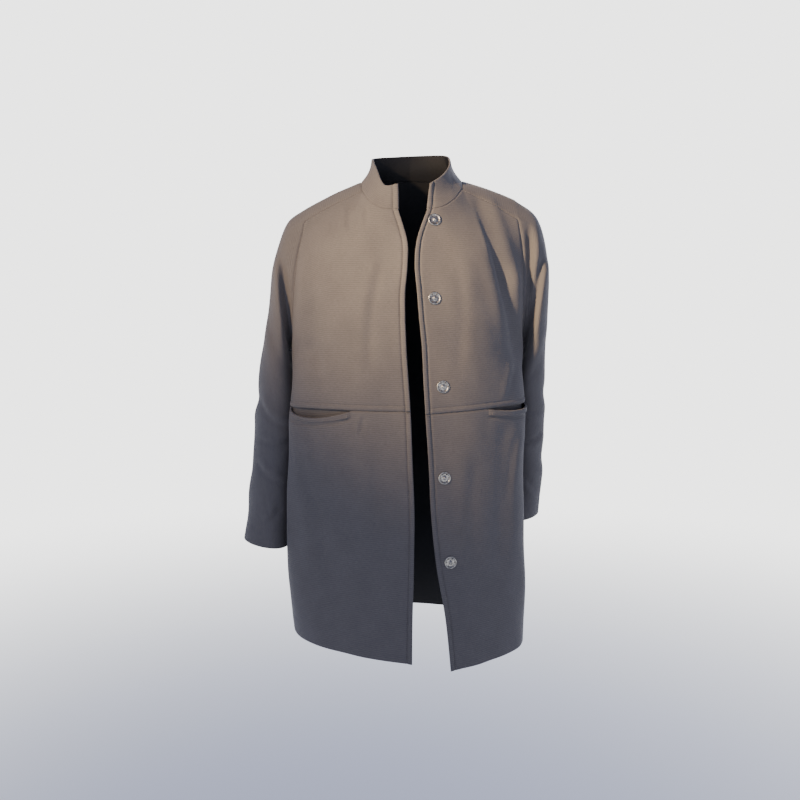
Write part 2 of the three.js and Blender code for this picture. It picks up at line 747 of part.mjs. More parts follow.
function collar() {
  const sheet = new Sheet('collar', COLLAR_CLOTH, 'cloth');
  const top = COLLAR_TOP.map(point);
  const rows = [];
  for (let j = 0; j <= COLLAR_ROWS; j++) {
    const share = j / COLLAR_ROWS;
    rows.push(collarSeam().map((entry) => {
      const p = entry.place.clone().lerp(along(top, entry.top), share);
      const sideward = Math.hypot(p.x, Math.max(p.y, 0)) / Math.hypot(p.x, p.y);
      const inward = new THREE.Vector3(-p.x, -p.y, 0).normalize();
      return p.addScaledVector(inward, COLLAR_HOLLOW * sideward * Math.sin(Math.PI * share));
    }));
  }
  sheet.addGrid(rows, true);
  return sheet;
}

// Pieces that lie on a panel, made from the panel's own points

// Step over which a surface's slope is measured, as a share of its width
const SLOPE_STEP = 0.01;

// A point on the flat facets of a front, from the corners of the facet that it lies in.
function onFacets(surface, side, u, v) {
  const shares = frontShares();
  const rows = [...skirtRows, ...bodyRows.slice(1)];
  const i = Math.max(0, shares.findLastIndex((share) => share < u));
  const j = Math.max(0, rows.findLastIndex((row) => row < v));
  const across = (u - shares[i]) / (shares[i + 1] - shares[i]);
  const up = (v - rows[j]) / (rows[j + 1] - rows[j]);
  const low = surface(side, shares[i], rows[j]).lerp(surface(side, shares[i + 1], rows[j]), across);
  const high = surface(side, shares[i], rows[j + 1]).lerp(surface(side, shares[i + 1], rows[j + 1]), across);
  return low.lerp(high, up);
}

// Moves a point of a front's facets along the surface's normal.
function lifted(surface, u, v, distance, side) {
  const p = onFacets(surface, side, u, v);
  const across = surface(side, u + SLOPE_STEP, v).sub(surface(side, u - SLOPE_STEP, v));
  const up = surface(side, u, v).sub(surface(side, u, v - 2 * SLOPE_STEP));
  const normal = across.cross(up).normalize().multiplyScalar(sign(side));
  return p.addScaledVector(normal, distance);
}

// Shares of a front's width from one place to another: its own mesh columns, and halfway between them.
function sharesBetween(from, to) {
  const columns = [from, ...frontShares().filter((share) => share > from && share < to), to];
  return columns.flatMap((share, i) => (i ? [(columns[i - 1] + share) / 2, share] : [share]));
}

// The station position that lies a given length below the waist seam.
function below(side, u, length) {
  const waist = frontSurface(side, u, WAIST);
  const under = frontSurface(side, u, WAIST - 1);
  return WAIST - length / waist.distanceTo(under);
}

// The band sewn along a pocket's lip.
function pocketWelt(side) {
  const pocket = POCKETS[side];
  const sheet = new Sheet(`pocket_welt_${side}`, WELT_CLOTH, 'cloth');
  const rows = [];
  for (let j = 0; j <= WELT_ROWS; j++) {
    rows.push(sharesBetween(pocket.from, pocket.to).map((u) => {
      const v = below(side, u, WELT_HEIGHT * (1 - j / WELT_ROWS) + SEAM_GAP);
      return lifted(skirtSurface, u, v, WELT_CLOTH + 3 * SEAM_GAP, side);
    }));
  }
  sheet.addGrid(rows, side === 'right');
  return sheet;
}

// The pocket's back: held behind the waist seam, full in the middle, and near the front's inside
// all round.
function pocketBack(side) {
  const pocket = POCKETS[side];
  const sheet = new Sheet(`pocket_back_${side}`, POCKET_CLOTH, 'lining');
  const rows = [];
  for (let j = 0; j <= POCKET_ROWS; j++) {
    const down = j / POCKET_ROWS;
    const from = pocket.from - POCKET_SEAM;
    const to = pocket.to + POCKET_SEAM;
    rows.push(sharesBetween(from, to).map((u) => {
      const t = (u - from) / (to - from);
      const rounding = Math.sin(Math.PI * t) * Math.sin(Math.PI * down);
      const full = POCKET_FULLNESS * Math.pow(rounding, POCKET_FLATNESS);
      const v = below(side, u, POCKET_DEPTH * down - POCKET_RISE);
      return lifted(frontSurface, u, v, -(CLOTH + 2 * SEAM_GAP) - full, side);
    }));
  }
  sheet.addGrid(rows.reverse(), side === 'right');
  return sheet;
}

// Press studs

function lathe(profile) {
  const radius = SNAP_DIAMETER / 2;
  const points = profile.map(([r, h]) => new THREE.Vector2(r * radius, h * radius));
  return new THREE.LatheGeometry(points, SNAP_SIDES).rotateX(Math.PI / 2);
}

// Where a sheet is met, looking along Y at a place and height, with the face's normal there.
function meet(sheets, x, z) {
  for (const sheet of sheets) {
    for (const triangle of sheet.triangles) {
      const [a, b, c] = triangle.map((id) => sheet.points[id]);
      const area = (b.x - a.x) * (c.z - a.z) - (c.x - a.x) * (b.z - a.z);
      const wb = ((x - a.x) * (c.z - a.z) - (c.x - a.x) * (z - a.z)) / area;
      const wc = ((b.x - a.x) * (z - a.z) - (x - a.x) * (b.z - a.z)) / area;
      if (wb >= 0 && wc >= 0 && wb + wc <= 1) {
        const y = a.y + wb * (b.y - a.y) + wc * (c.y - a.y);
        return { place: new THREE.Vector3(x, y, z), normal: faceNormal(sheet, triangle).normalize() };
      }
    }
  }
  throw new Error(`no cloth at ${x}, ${z}`);
}

function snap(name, profile, spot, lift, direction) {
  const mesh = new THREE.Mesh(lathe(profile), material('metal'));
  mesh.name = name;
  mesh.position.copy(spot.place).addScaledVector(spot.normal, lift);
  const facing = spot.normal.clone().multiplyScalar(direction);
  mesh.quaternion.setFromUnitVectors(new THREE.Vector3(0, 0, 1), facing);
  return mesh;
}

function material(kind) {
  const metal = kind === 'metal';
  return new THREE.MeshStandardMaterial({
    color: COLORS[kind],
    roughness: metal ? 0.4 : 0.9,
    metalness: metal ? 0.9 : 0,
    side: THREE.DoubleSide,
  });
}

// The whole coat

function build() {
  const sides = ['right', 'left'];
  const panels = [
    ...sides.flatMap((side) => [frontUpper(side), frontLower(side)]),
    back(),
    ...sides.map(sleeve),
    collar(),
  ];
  const trims = sides.flatMap((side) => [pocketWelt(side), pocketBack(side)]);

  // Where panels meet, they share one normal, so that their edges face each other squarely.
  const seams = new Map();
  const normalsOf = new Map(panels.map((sheet) => [sheet, vertexNormals(sheet)]));
  for (const [sheet, normals] of normalsOf) {
    normals.forEach((normal, id) => {
      const key = placeKey(sheet.points[id]);
      seams.set(key, (seams.get(key) ?? new THREE.Vector3()).add(normal));
    });
  }

  const group = new THREE.Group();
  group.name = 'coat';
  const addSheet = (sheet, normals) => {
    const mesh = new THREE.Mesh(solidGeometry(sheet, normals), material(sheet.material));
    mesh.name = sheet.name;
    group.add(mesh);
  };
  for (const sheet of panels) {
    addSheet(sheet, sheet.points.map((p) => seams.get(placeKey(p)).clone().normalize()));
  }
  for (const sheet of trims) {
    addSheet(sheet, vertexNormals(sheet));
  }

  const named = (start) => panels.filter((sheet) => sheet.name.startsWith(start));
  SNAP_STUDS.forEach(([x, z], i) => {
    const spot = meet(named('front_left'), x, z);
    group.add(snap(`snap_stud_${i + 1}`, STUD_PROFILE, spot, SNAP_CLEARANCE, 1));
  });
  SNAP_SOCKETS.forEach(([x, z], i) => {
    const spot = meet(named('front_right'), x, z);
    group.add(snap(`snap_socket_${i + 1}`, SOCKET_PROFILE, spot, -CLOTH - SNAP_CLEARANCE, -1));
  });
  return group;
}

export default build();
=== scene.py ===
"""The looks of a stand-collar coat, worn open and empty.

Each panel is a thin closed shell of cloth on the form of its solid, with folds, rolled and turned
edges, topstitching and a crepe weave. The press studs are turned metal with sewing holes.
Lengths are in millimetres until a mesh is made. +X is the wearer's left and -Y the front.
"""

import math

import bmesh
import bpy
import numpy as np
from mathutils import Matrix, Vector


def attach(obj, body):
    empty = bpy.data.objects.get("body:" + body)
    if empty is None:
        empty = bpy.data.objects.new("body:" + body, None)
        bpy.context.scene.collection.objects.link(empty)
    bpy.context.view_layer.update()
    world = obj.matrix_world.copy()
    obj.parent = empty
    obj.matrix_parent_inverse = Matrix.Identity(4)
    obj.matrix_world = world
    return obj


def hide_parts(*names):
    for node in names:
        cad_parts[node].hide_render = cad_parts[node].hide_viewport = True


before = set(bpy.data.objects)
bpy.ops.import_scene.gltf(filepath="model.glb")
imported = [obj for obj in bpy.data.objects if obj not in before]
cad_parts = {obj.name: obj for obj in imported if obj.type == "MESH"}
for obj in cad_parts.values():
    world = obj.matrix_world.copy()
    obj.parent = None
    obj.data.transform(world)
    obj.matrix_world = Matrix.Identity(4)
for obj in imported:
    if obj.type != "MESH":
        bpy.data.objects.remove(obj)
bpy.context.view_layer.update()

MM = 0.001

# Camera: the photograph's, in its 800-pixel frame

FRAME_PX = 800
FOCAL_PX = 870
LEVEL_DROP_PX = 100
NECK_OFFSET_PX = 12
CAMERA_DISTANCE = 1530
CAMERA_HEIGHT = -200
CAMERA_TURN = math.radians(4)
SENSOR_WIDTH = 36


def make_camera():
    pitch = math.atan(LEVEL_DROP_PX / FOCAL_PX)
    heading = CAMERA_TURN - math.atan(NECK_OFFSET_PX * math.cos(pitch) / FOCAL_PX)
    level = Vector((math.sin(heading), math.cos(heading), 0))
    right = Vector((math.cos(heading), -math.sin(heading), 0))
    ahead = level * math.cos(pitch) - Vector((0, 0, math.sin(pitch)))
    up = right.cross(ahead)
    data = bpy.data.cameras.new("camera")
    data.sensor_width = SENSOR_WIDTH
    data.lens = FOCAL_PX / FRAME_PX * SENSOR_WIDTH
    camera = bpy.data.objects.new("camera", data)
    bpy.context.scene.collection.objects.link(camera)
    place = Vector((-math.sin(CAMERA_TURN), -math.cos(CAMERA_TURN), 0)) * CAMERA_DISTANCE
    place.z = CAMERA_HEIGHT
    turn = Matrix((right, up, -ahead)).transposed()
    camera.matrix_world = Matrix.Translation(place * MM) @ turn.to_4x4()
    bpy.context.scene.camera = camera


# Driving dimensions

CLOTH = 2.4
COLLAR_CLOTH = 3.6
POCKET_CLOTH = 1.2
WELT_CLOTH = 1.6
SEAM_GAP = 0.3
COLLAR_SEAM_OVERLAP = 1.2
WELT_HEIGHT = 10
WELT_LIFT = 0.3
WELT_RISE = WELT_CLOTH + 0.15
WELT_END = 9
WELT_WAVE = 0.12
WELT_MESH_STEP = 1.7
WELT_SHADOW = 2.3
WELT_SHADOW_PLACE = WELT_HEIGHT + 2.4
WELT_SHADOW_WIDTH = 1.5
POCKET_DEPTH = 150
POCKET_FULLNESS = 12
POCKET_FLATNESS = 0.6
POCKET_RISE = 5
POCKET_SEAM = 0.02
POCKET_COLUMNS = 29
POCKET_ROWS = 41
POCKET_DENSE_ROWS = 24
FRONT_NECK_SHARE = 0.45
BACK_NECK_SHARE = 0.5
WAIST = 5
UNDERARM = 7
TOP = 13
FRONT_SPANS = 3
BACK_SPANS = 4
SEAM_PULL = 6
BODY_ASPECT = 0.55
MESH_STEP = 3.2
BACK_MESH_STEP = 4.2


def table(columns, rows):
    """The rows of a short table, as records with the columns' names."""
    names = columns.split()
    return [dict(zip(names, row)) for row in rows]


# Fronts, from the hem up. out is measured from the middle line toward the front's own side.

QUARTER_RISE = 0.4
TURN_RISE = 0.7
FRONT_COLUMNS = "level edge_out edge_y quarter_out quarter_y turn_out turn_y side_out side_y rise"
FRONTS = {
    "right": table(FRONT_COLUMNS, [
        (-797, 10, -158, 96, -131, 192, -62, 212, 18, 14),
        (-712, 9, -156, 98, -133, 208, -66, 213, 16, 6),
        (-632, 7, -154, 101, -133, 215, -68, 204, 12, 0),
        (-545, 6, -150, 103, -131, 216, -70, 188, 8, 0),
        (-460, 9, -147, 103, -129, 212, -70, 184, 6, 0),
        (-379, 12, -143, 104, -127, 208, -68, 183, 5, 2),
        (-330, 15, -141, 105, -125, 205, -60, 187, 5, 0),
        (-286, 18, -138, 106, -122, 202, -54, 203, 8, 0),
        (-262, 19, -137, 106, -120, 200, -62, 207, -26, 0),
        (-233, 20, -135, 106, -118, 195, -68, 206, -43, 0),
        (-190, 20, -130, 106, -113, 187, -72, 202, -50, 0),
        (-148, 16, -122, 105, -106, 179, -70, 197, -50, 0),
        (-108, 15, -111, 100, -95, 168, -63, 190, -43, 0),
    ]),
    "left": table(FRONT_COLUMNS, [
        (-808, 54, -161, 114, -136, 187, -72, 198, 10, 8),
        (-720, 45, -159, 113, -137, 191, -74, 192, 12, 3),
        (-632, 30, -155, 111, -135, 190, -73, 178, 12, 0),
        (-545, 21, -151, 109, -132, 188, -71, 166, 12, 0),
        (-460, 17, -147, 107, -129, 187, -68, 163, 12, 0),
        (-384, 12, -143, 105, -127, 188, -64, 163, 10, 15),
        (-330, 9, -141, 103, -125, 186, -58, 168, 8, 0),
        (-282, 7, -138, 102, -121, 182, -54, 182, 8, 0),
        (-258, 5, -137, 101, -119, 179, -60, 186, -24, 0),
        (-228, 2, -135, 101, -117, 176, -66, 186, -42, 0),
        (-186, -1, -130, 100, -112, 171, -70, 187, -51, 0),
        (-144, -4, -121, 98, -104, 165, -67, 186, -50, 0),
        (-104, 0, -109, 94, -93, 158, -60, 183, -43, 0),
    ]),
}

# Back, at the same stations. The last four columns give the armhole's back half.

BACK_COLUMNS = (
    "middle_y right_out right_y left_out left_y right_side right_side_y left_side left_side_y"
)
BACK = table(BACK_COLUMNS, [
    (128, 172, 98, 160, 94),
    (126, 168, 95, 154, 92),
    (124, 160, 92, 145, 90),
    (122, 152, 90, 137, 89),
    (120, 149, 89, 134, 88),
    (118, 149, 88, 135, 87),
    (118, 152, 88, 139, 87),
    (118, 158, 88, 146, 87),
    (117, 158, 90, 146, 89, 203, 42, 184, 42),
    (116, 156, 92, 144, 91, 201, 57, 183, 57),
    (113, 150, 92, 138, 91, 198, 66, 182, 66),
    (106, 142, 86, 132, 85, 194, 65, 181, 65),
    (96, 132, 75, 124, 74, 189, 56, 180, 56),
])

SHOULDERS = {
    "right": {
        "front_neck": (-86, -36, -18),
        "front_corner": (-184, -35, -69),
        "back_neck": (-84, 31, -1),
        "back_corner": (-182, 38, -66),
    },
    "left": {
        "front_neck": (81, -39, -14),
        "front_corner": (178, -35, -63),
        "back_neck": (84, 31, 1),
        "back_corner": (177, 38, -61),
    },
}
NECKLINES = {
    "right": [(-29, -87, -52), (-51, -82, -50), (-73, -67, -38)],
    "left": [(19, -87, -51), (41, -83, -48), (64, -67, -34)],
}
SADDLE_SEAM_LIFT = 2
SADDLE_STEP = 1.1
SADDLE_STEP_REACH = 6
SADDLE_CROWN = {"right": 23, "left": 35}
NECK_SIDE_CROWN = 10
NECK_SIDE_BULGE = 2
BACK_NECK_MIDDLE = (0, 62, 12)
BACK_NECK_ROUND = (50, 54, 8)
COLLAR_TOP = [
    (-30, -77, -12), (-50, -66, -13), (-64, -32, 19), (-69, -4, 36), (-65, 29, 44), (0, 57, 52),
    (61, 31, 50), (66, 0, 39), (62, -28, 24), (48, -55, 6), (26, -74, -10),
]
COLLAR_HOLLOW = 4

# Sleeve rings from the shoulder cap to the cuff, each an ellipse between its outer and inner line

RING_COLUMNS = "outer_out outer_z inner_out inner_z middle_y half_depth"
SLEEVES = {
    "right": table(RING_COLUMNS, [
        (214, -67, 215, -286, 8, 56),
        (240, -143, 214, -298, 8, 59),
        (252, -232, 207, -326, 9, 61),
        (264, -305, 198, -362, 10, 62),
        (272, -362, 195, -396, 9, 60),
        (277, -416, 195, -432, 8, 58),
        (283, -490, 202, -494, 2, 55),
        (289, -560, 211, -560, -6, 52),
        (297, -615, 220, -630, -14, 48),
    ]),
    "left": table(RING_COLUMNS, [
        (217, -56, 195, -282, 8, 56),
        (238, -130, 194, -294, 11, 59),
        (240, -228, 187, -322, 16, 61),
        (240, -305, 177, -358, 24, 61),
        (242, -362, 174, -392, 30, 59),
        (243, -416, 173, -430, 36, 57),
        (244, -484, 174, -492, 44, 54),
        (243, -540, 174, -548, 52, 51),
        (240, -594, 171, -606, 58, 47),
    ]),
}
LAST_RING = 9

# Main creases of the body, which the solids have too, and of the sleeves

CREASE_FACING = (10, 40)
CREASES = table("facing side from_out from_z to_out to_z width depth", [
    (-1, 1, 122, -40, 158, -165, 11, 3.2),
    (-1, 1, 158, -165, 184, -300, 10, 3.6),
    (-1, -1, 182, -120, 176, -290, 12, 2.2),
    (-1, -1, 190, -410, 165, -640, 13, 2.5),
    (-1, 1, 160, -430, 150, -650, 14, 2.2),
    (1, -1, 112, -150, 92, -740, 24, 5),
    (1, 1, 104, -140, 96, -760, 24, 5),
])
INNER_FULLNESS = {
    "right": {"ring": 2.0, "length": 55, "width": 0.9, "height": 11},
    "left": {"ring": 2.2, "length": 50, "width": 0.8, "height": 4},
}
SLEEVE_RIDGE_SHARE = 0.6
SLEEVE_RIDGE_PLACE = 1.6
SLEEVE_CREASE_START = (1, 2)
SLEEVE_CREASES = table("ring angle length width tilt depth", [
    (2.2, 60, 60, 0.35, 0.7, 3),
    (3.2, 150, 70, 0.4, -0.8, 4),
    (5.4, 20, 80, 0.3, 0.5, 3.5),
    (6.1, 110, 80, 0.3, -0.6, 4),
    (6.7, -60, 70, 0.3, 0.4, 3),
    (8.0, 70, 60, 0.3, 0.5, 2),
])

# Finer folds of the body and of each sleeve, along lines of (x, z) points on the front (-1) or the
# back (1): a trough of this width and depth with a ridge beside it. A negative width puts the ridge
# on the other hand.

FOLD_COLUMNS = "facing width depth ridge points"
FOLDS = {
    "body": table(FOLD_COLUMNS, [
        (-1, 5, 1.3, 0.7, [(-109, -40), (-110, -66), (-106, -96)]),
        (-1, 4, 0.9, 0.6, [(-79, -46), (-82, -62), (-81, -84)]),
        (-1, 4, 1.2, 0.7, [(-87, -384), (-90, -402), (-95, -424)]),
        (-1, -9, 1.8, 0.7, [(-203, -404), (-186, -480), (-163, -575)]),
        (-1, 12, 1.6, 0.8, [(-64, -430), (-72, -560), (-80, -700)]),
        (-1, -8, 1.6, 0.7, [(-178, -250), (-158, -310), (-150, -366)]),
        (-1, 9, 1.4, 0.8, [(-52, -120), (-74, -220), (-78, -340)]),
        (-1, 6, 1.5, 0.8, [(174, -300), (160, -340), (150, -372)]),
        (-1, 5, 1.6, 0.7,
         [(104, -34), (114, -76), (124, -109), (134, -139), (148, -200), (164, -256)]),
        (-1, 11, 2.8, 0.6, [(118, -90), (134, -139), (148, -200), (162, -249), (172, -310)]),
        (-1, -10, 0.8, 0.8, [(64, -120), (72, -230), (62, -350)]),
        (-1, 12, 1.8, 0.8, [(96, -430), (90, -560), (98, -720)]),
        (-1, -7, 1.4, 0.7, [(176, -410), (160, -470), (152, -560)]),
        (1, 14, 2.4, 0.8, [(-150, -170), (-120, -260), (-112, -380)]),
        (1, -14, 2.4, 0.8, [(146, -170), (118, -260), (110, -380)]),
        (1, 10, 1.8, 0.8, [(-44, -60), (-30, -160), (-34, -300)]),
        (1, -10, 1.8, 0.8, [(48, -60), (36, -160), (30, -300)]),
        (1, 9, 1.5, 0.8, [(-132, -330), (-70, -362), (-8, -370)]),
        (1, 9, 1.5, 0.8, [(128, -326), (74, -352), (20, -384)]),
        (1, 16, 2.6, 0.8, [(-30, -420), (-38, -580), (-44, -740)]),
        (1, -16, 2.6, 0.8, [(40, -430), (44, -590), (52, -760)]),
    ]),
    "left": table(FOLD_COLUMNS, [
        (-1, -7, 8.0, 0.6,
         [(197, -58), (199, -99), (197, -149), (195, -200), (193, -268), (191, -330)]),
        (-1, -7, 6.5, 0.8, [(224, -120), (215, -149), (206, -200), (200, -251), (194, -320)]),
        (-1, 8, 2.0, 0.8, [(236, -250), (222, -300), (196, -352)]),
        (-1, 7, 2.6, 0.9, [(180, -372), (204, -392), (236, -398)]),
        (-1, -6, 2.0, 0.8, [(238, -430), (214, -448), (182, -452)]),
        (-1, 6, 1.8, 0.8, [(180, -500), (206, -520), (238, -560)]),
        (1, 8, 2.8, 0.9, [(190, -110), (202, -190), (196, -280)]),
        (1, -8, 2.6, 0.9, [(226, -150), (224, -240), (198, -330)]),
        (1, 8, 2.6, 0.9, [(178, -370), (206, -402), (240, -410)]),
        (1, -7, 2.2, 0.8, [(180, -452), (208, -470), (240, -500)]),
    ]),
    "right": table(FOLD_COLUMNS, [
        (-1, 7, 9.0, 0.7,
         [(-227, -106), (-221, -150), (-216, -200), (-211, -234), (-207, -275), (-204, -330)]),
        (-1, 8, 2.2, 0.8, [(-246, -200), (-238, -262), (-216, -330)]),
        (-1, -7, 2.8, 0.9, [(-270, -362), (-246, -400), (-204, -420)]),
        (-1, 6, 2.4, 0.8, [(-200, -438), (-232, -446), (-276, -436)]),
        (-1, -6, 2.0, 0.8, [(-278, -470), (-250, -500), (-212, -520)]),
        (-1, 7, 2.2, 0.8, [(-228, -548), (-242, -572), (-262, -586)]),
        (1, -8, 2.8, 0.9, [(-208, -110), (-216, -190), (-210, -280)]),
        (1, 8, 2.6, 0.9, [(-244, -150), (-242, -240), (-214, -330)]),
        (1, -8, 2.6, 0.9, [(-198, -380), (-234, -404), (-272, -400)]),
        (1, 7, 2.2, 0.8, [(-204, -462), (-240, -480), (-280, -500)]),
    ]),
}

# Pockets in the waist seam

POCKETS = {
    "right": {"from": 0.34, "to": 0.68, "drop": 15, "push": 5},
    "left": {"from": 0.37, "to": 0.72, "drop": 8, "push": 5},
}
LIP_REACH = 75
GAPE_LEAN = 1.15
GAPE_FLATNESS = 0.8

# Press studs on the left front and their sockets inside the right one

SNAP_STUDS = [(31, -71), (29, -197), (40, -339), (43, -486), (53, -625)]
SNAP_SOCKETS = [(-54, -78), (-48, -197), (-44, -339), (-37, -486), (-36, -625)]
SOCKET_GAP = 0.1

# Sewing

EDGE_STITCH = 8
EDGE_RISE = 0.9
EDGE_GROOVE = 1.7
WAIST_STITCH = 9
HEM_STITCH = 38
HEM_RISE = 0.2
HEM_DIP = 0.25
CUFF_STITCH = 32
STITCH_PITCH = 3.4
STITCH_LENGTH = 2.5
STITCH_RADIUS = 0.27
TACK_PITCH = 0.45
TACK_START = 0.3
TACK_WIDTH = 1.9
TACK_SINK = 0.1
TACK_COLUMN = 2

SIDES = ("right", "left")


def sign(side):
    return -1 if side == "right" else 1


# Curves


def along(points, places):
    """Points of the smooth curve through all the given points, at places counted in points.

    points has shape (n, ..., 3), and the result the shape of places, then (..., 3)."""
    points = np.asarray(points, float)
    places = np.asarray(places, float)
    last = len(points) - 1
    i = np.clip(np.floor(places).astype(int), 0, last - 1)
    f = (places - i).reshape(places.shape + (1,) * (points.ndim - 1))
    ends = np.concatenate([2 * points[:1] - points[1:2], points, 2 * points[-1:] - points[-2:-1]])
    before, a, b, after = (ends[i + k] for k in range(4))

    def root_length(p, q):
        length = np.sqrt(np.linalg.norm(q - p, axis=-1, keepdims=True))
        return np.where(length == 0, 1, length)

    d0, d1, d2 = root_length(before, a), root_length(a, b), root_length(b, after)
    start = ((a - before) / d0 - (b - before) / (d0 + d1) + (b - a) / d1) * d1
    end = ((b - a) / d1 - (after - a) / (d1 + d2) + (after - b) / d2) * d1
    f2, f3 = f * f, f * f * f
    return (
        a * (2 * f3 - 3 * f2 + 1) + start * (f3 - 2 * f2 + f)
        + b * (3 * f2 - 2 * f3) + end * (f3 - f2)
    )


def smoothstep(x, low, high):
    t = np.clip((x - low) / (high - low), 0, 1)
    return t * t * (3 - 2 * t)


def bell(x):
    return np.exp(-x * x)


def unit(vectors):
    return vectors / np.maximum(np.linalg.norm(vectors, axis=-1, keepdims=True), 1e-9)


# Form of the body


def body_outward(p):
    level = np.stack([p[..., 0] * BODY_ASPECT**2, p[..., 1], np.zeros(p.shape[:-1])], -1)
    return unit(level)


def crease_height(p):
    """How far the main creases move points of the body outward."""
    height = np.zeros(p.shape[:-1])
    for crease in CREASES:
        start = np.array([crease["side"] * crease["from_out"], crease["from_z"]])
        line = np.array([crease["side"] * crease["to_out"], crease["to_z"]]) - start
        length = np.linalg.norm(line)
        line = line / length
        here = p[..., [0, 2]] - start
        run = here @ line / length
        beside = (here[..., 0] * line[1] - here[..., 1] * line[0]) * crease["side"]
        past = np.maximum(0, np.maximum(-run, run - 1)) * length
        wave = bell((beside + crease["width"]) / crease["width"])
        wave = wave - bell((beside - crease["width"]) / crease["width"])
        share = smoothstep(crease["facing"] * p[..., 1], *CREASE_FACING)
        height += crease["depth"] * share * bell(past / (2 * crease["width"])) * wave
    return height


FOLD_SAMPLES = 13
FOLD_RISE = 0.25
FOLD_FALL = 0.35
FOLD_RIDGE_PLACE = 1.5
FOLD_RIDGE_WIDTH = 1.1


def fold_height(p, part, facing_share):
    """How far the finer folds of one part move its points outward. facing_share tells, for a face
    of -1 or 1, how much of it a point belongs to."""
    height = np.zeros(p.shape[:-1])
    flat = p[..., [0, 2]]
    for fold in FOLDS[part]:
        line = along(np.array(fold["points"], float), np.linspace(0, len(fold["points"]) - 1, FOLD_SAMPLES))
        nearest = np.full(height.shape, np.inf)
        beside = np.zeros(height.shape)
        run = np.zeros(height.shape)
        for i in range(len(line) - 1):
            step = line[i + 1] - line[i]
            size = np.linalg.norm(step)
            here = flat - line[i]
            t = np.clip(here @ step / size**2, 0, 1)
            away = np.linalg.norm(here - t[..., None] * step, axis=-1)
            side = np.sign(here[..., 0] * step[1] - here[..., 1] * step[0])
            closer = away < nearest
            nearest = np.where(closer, away, nearest)
            beside = np.where(closer, away * side, beside)
            run = np.where(closer, (i + t) / (len(line) - 1), run)
        s = beside / fold["width"]
        taper = smoothstep(run, 0, FOLD_RISE) * smoothstep(1 - run, 0, FOLD_FALL)
        wave = fold["ridge"] * bell((s - FOLD_RIDGE_PLACE) / FOLD_RIDGE_WIDTH) - bell(s)
        height += fold["depth"] * wave * taper * facing_share(fold["facing"])
    return height


RIPPLE_SEED = 7
RIPPLE_WAVES = 14
RIPPLE_HEIGHT = 0.22
RIPPLE_ACROSS = (45, 130)
RIPPLE_UP = (110, 420)


def ripple(p):
    """The slight unevenness of hanging cloth: a few long waves in seeded directions."""
    rng = np.random.default_rng(RIPPLE_SEED)
    height = np.zeros(p.shape[:-1])
    for _ in range(RIPPLE_WAVES):
        across, up = rng.uniform(*RIPPLE_ACROSS), rng.uniform(*RIPPLE_UP)
        turn, lean, phase = rng.uniform(0, math.tau), rng.choice([-1, 1]), rng.uniform(0, math.tau)
        flat = p[..., 0] * math.cos(turn) + p[..., 1] * math.sin(turn)
        height += np.sin(math.tau * (flat / across + lean * p[..., 2] / up) + phase)
    return RIPPLE_HEIGHT * height


def draped(p):
    """Points of the body with all its creases, folds and unevenness."""
    facing = lambda face: smoothstep(face * p[..., 1], *CREASE_FACING)
    height = crease_height(p) + fold_height(p, "body", facing) + ripple(p)
    return p + body_outward(p) * height[..., None]


def front_net(side, station):
    row = FRONTS[side][station]
    s, level, rise = sign(side), row["level"], row["rise"]
    return np.array([
        (s * row["edge_out"], row["edge_y"], level),
        (s * row["quarter_out"], row["quarter_y"], level + rise * QUARTER_RISE),
        (s * row["turn_out"], row["turn_y"], level + rise * TURN_RISE),
        (s * row["side_out"], row["side_y"], level + rise),
    ], float)


def back_net(station):
    back = BACK[station]
    right, left = front_net("right", station)[3], front_net("left", station)[3]
    if station > UNDERARM:
        right = np.array((-back["right_side"], back["right_side_y"], right[2]))
        left = np.array((back["left_side"], back["left_side_y"], left[2]))
    return np.array([
        right,
        (-back["right_out"], back["right_y"], right[2]),
        (0, back["middle_y"], (right[2] + left[2]) / 2),
        (back["left_out"], back["left_y"], left[2]),
        left,
    ])


def round_net(station):
    """A whole round at one station: the right front, the back and the left front in turn."""
    return np.concatenate([
        front_net("right", station), back_net(station)[1:-1], front_net("left", station)[::-1],
    ])


def between(start, end, t, lift, bulge=0.0):
    """Points from one place to another, lifted and pushed along x in the middle."""
    t = np.asarray(t, float)[..., None]
    p = np.array(start, float) * (1 - t) + np.array(end, float) * t
    return p + np.sin(math.pi * t) * np.array([bulge, 0, lift])


def front_neck(side, t):
    points = np.array([*NECKLINES[side], SHOULDERS[side]["front_neck"]], float)
    return along(points, np.asarray(t) * (len(points) - 1))


def front_saddle(side, t):
    shoulder = SHOULDERS[side]
    return between(shoulder["front_neck"], shoulder["front_corner"], t, SADDLE_SEAM_LIFT)


def back_saddle(side, t):
    shoulder = SHOULDERS[side]
    return between(shoulder["back_neck"], shoulder["back_corner"], t, SADDLE_SEAM_LIFT)


def back_neck(side, t):
    x, y, z = BACK_NECK_ROUND
    points = np.array([BACK_NECK_MIDDLE, (sign(side) * x, y, z), SHOULDERS[side]["back_neck"]], float)
    return along(points, np.asarray(t) * 2)


def saddle_end(side, t):
    shoulder = SHOULDERS[side]
    return between(shoulder["front_corner"], shoulder["back_corner"], t, SADDLE_CROWN[side])


def saddle_neck(side, t):
    shoulder = SHOULDERS[side]
    bulge = sign(side) * NECK_SIDE_BULGE
    return between(shoulder["front_neck"], shoulder["back_neck"], t, NECK_SIDE_CROWN, bulge)


def front_top(side, u):
    neck = front_neck(side, np.clip(u / FRONT_NECK_SHARE, 0, 1))
    saddle = front_saddle(side, np.clip((u - FRONT_NECK_SHARE) / (1 - FRONT_NECK_SHARE), 0, 1))
    return np.where((u <= FRONT_NECK_SHARE)[:, None], neck, saddle)


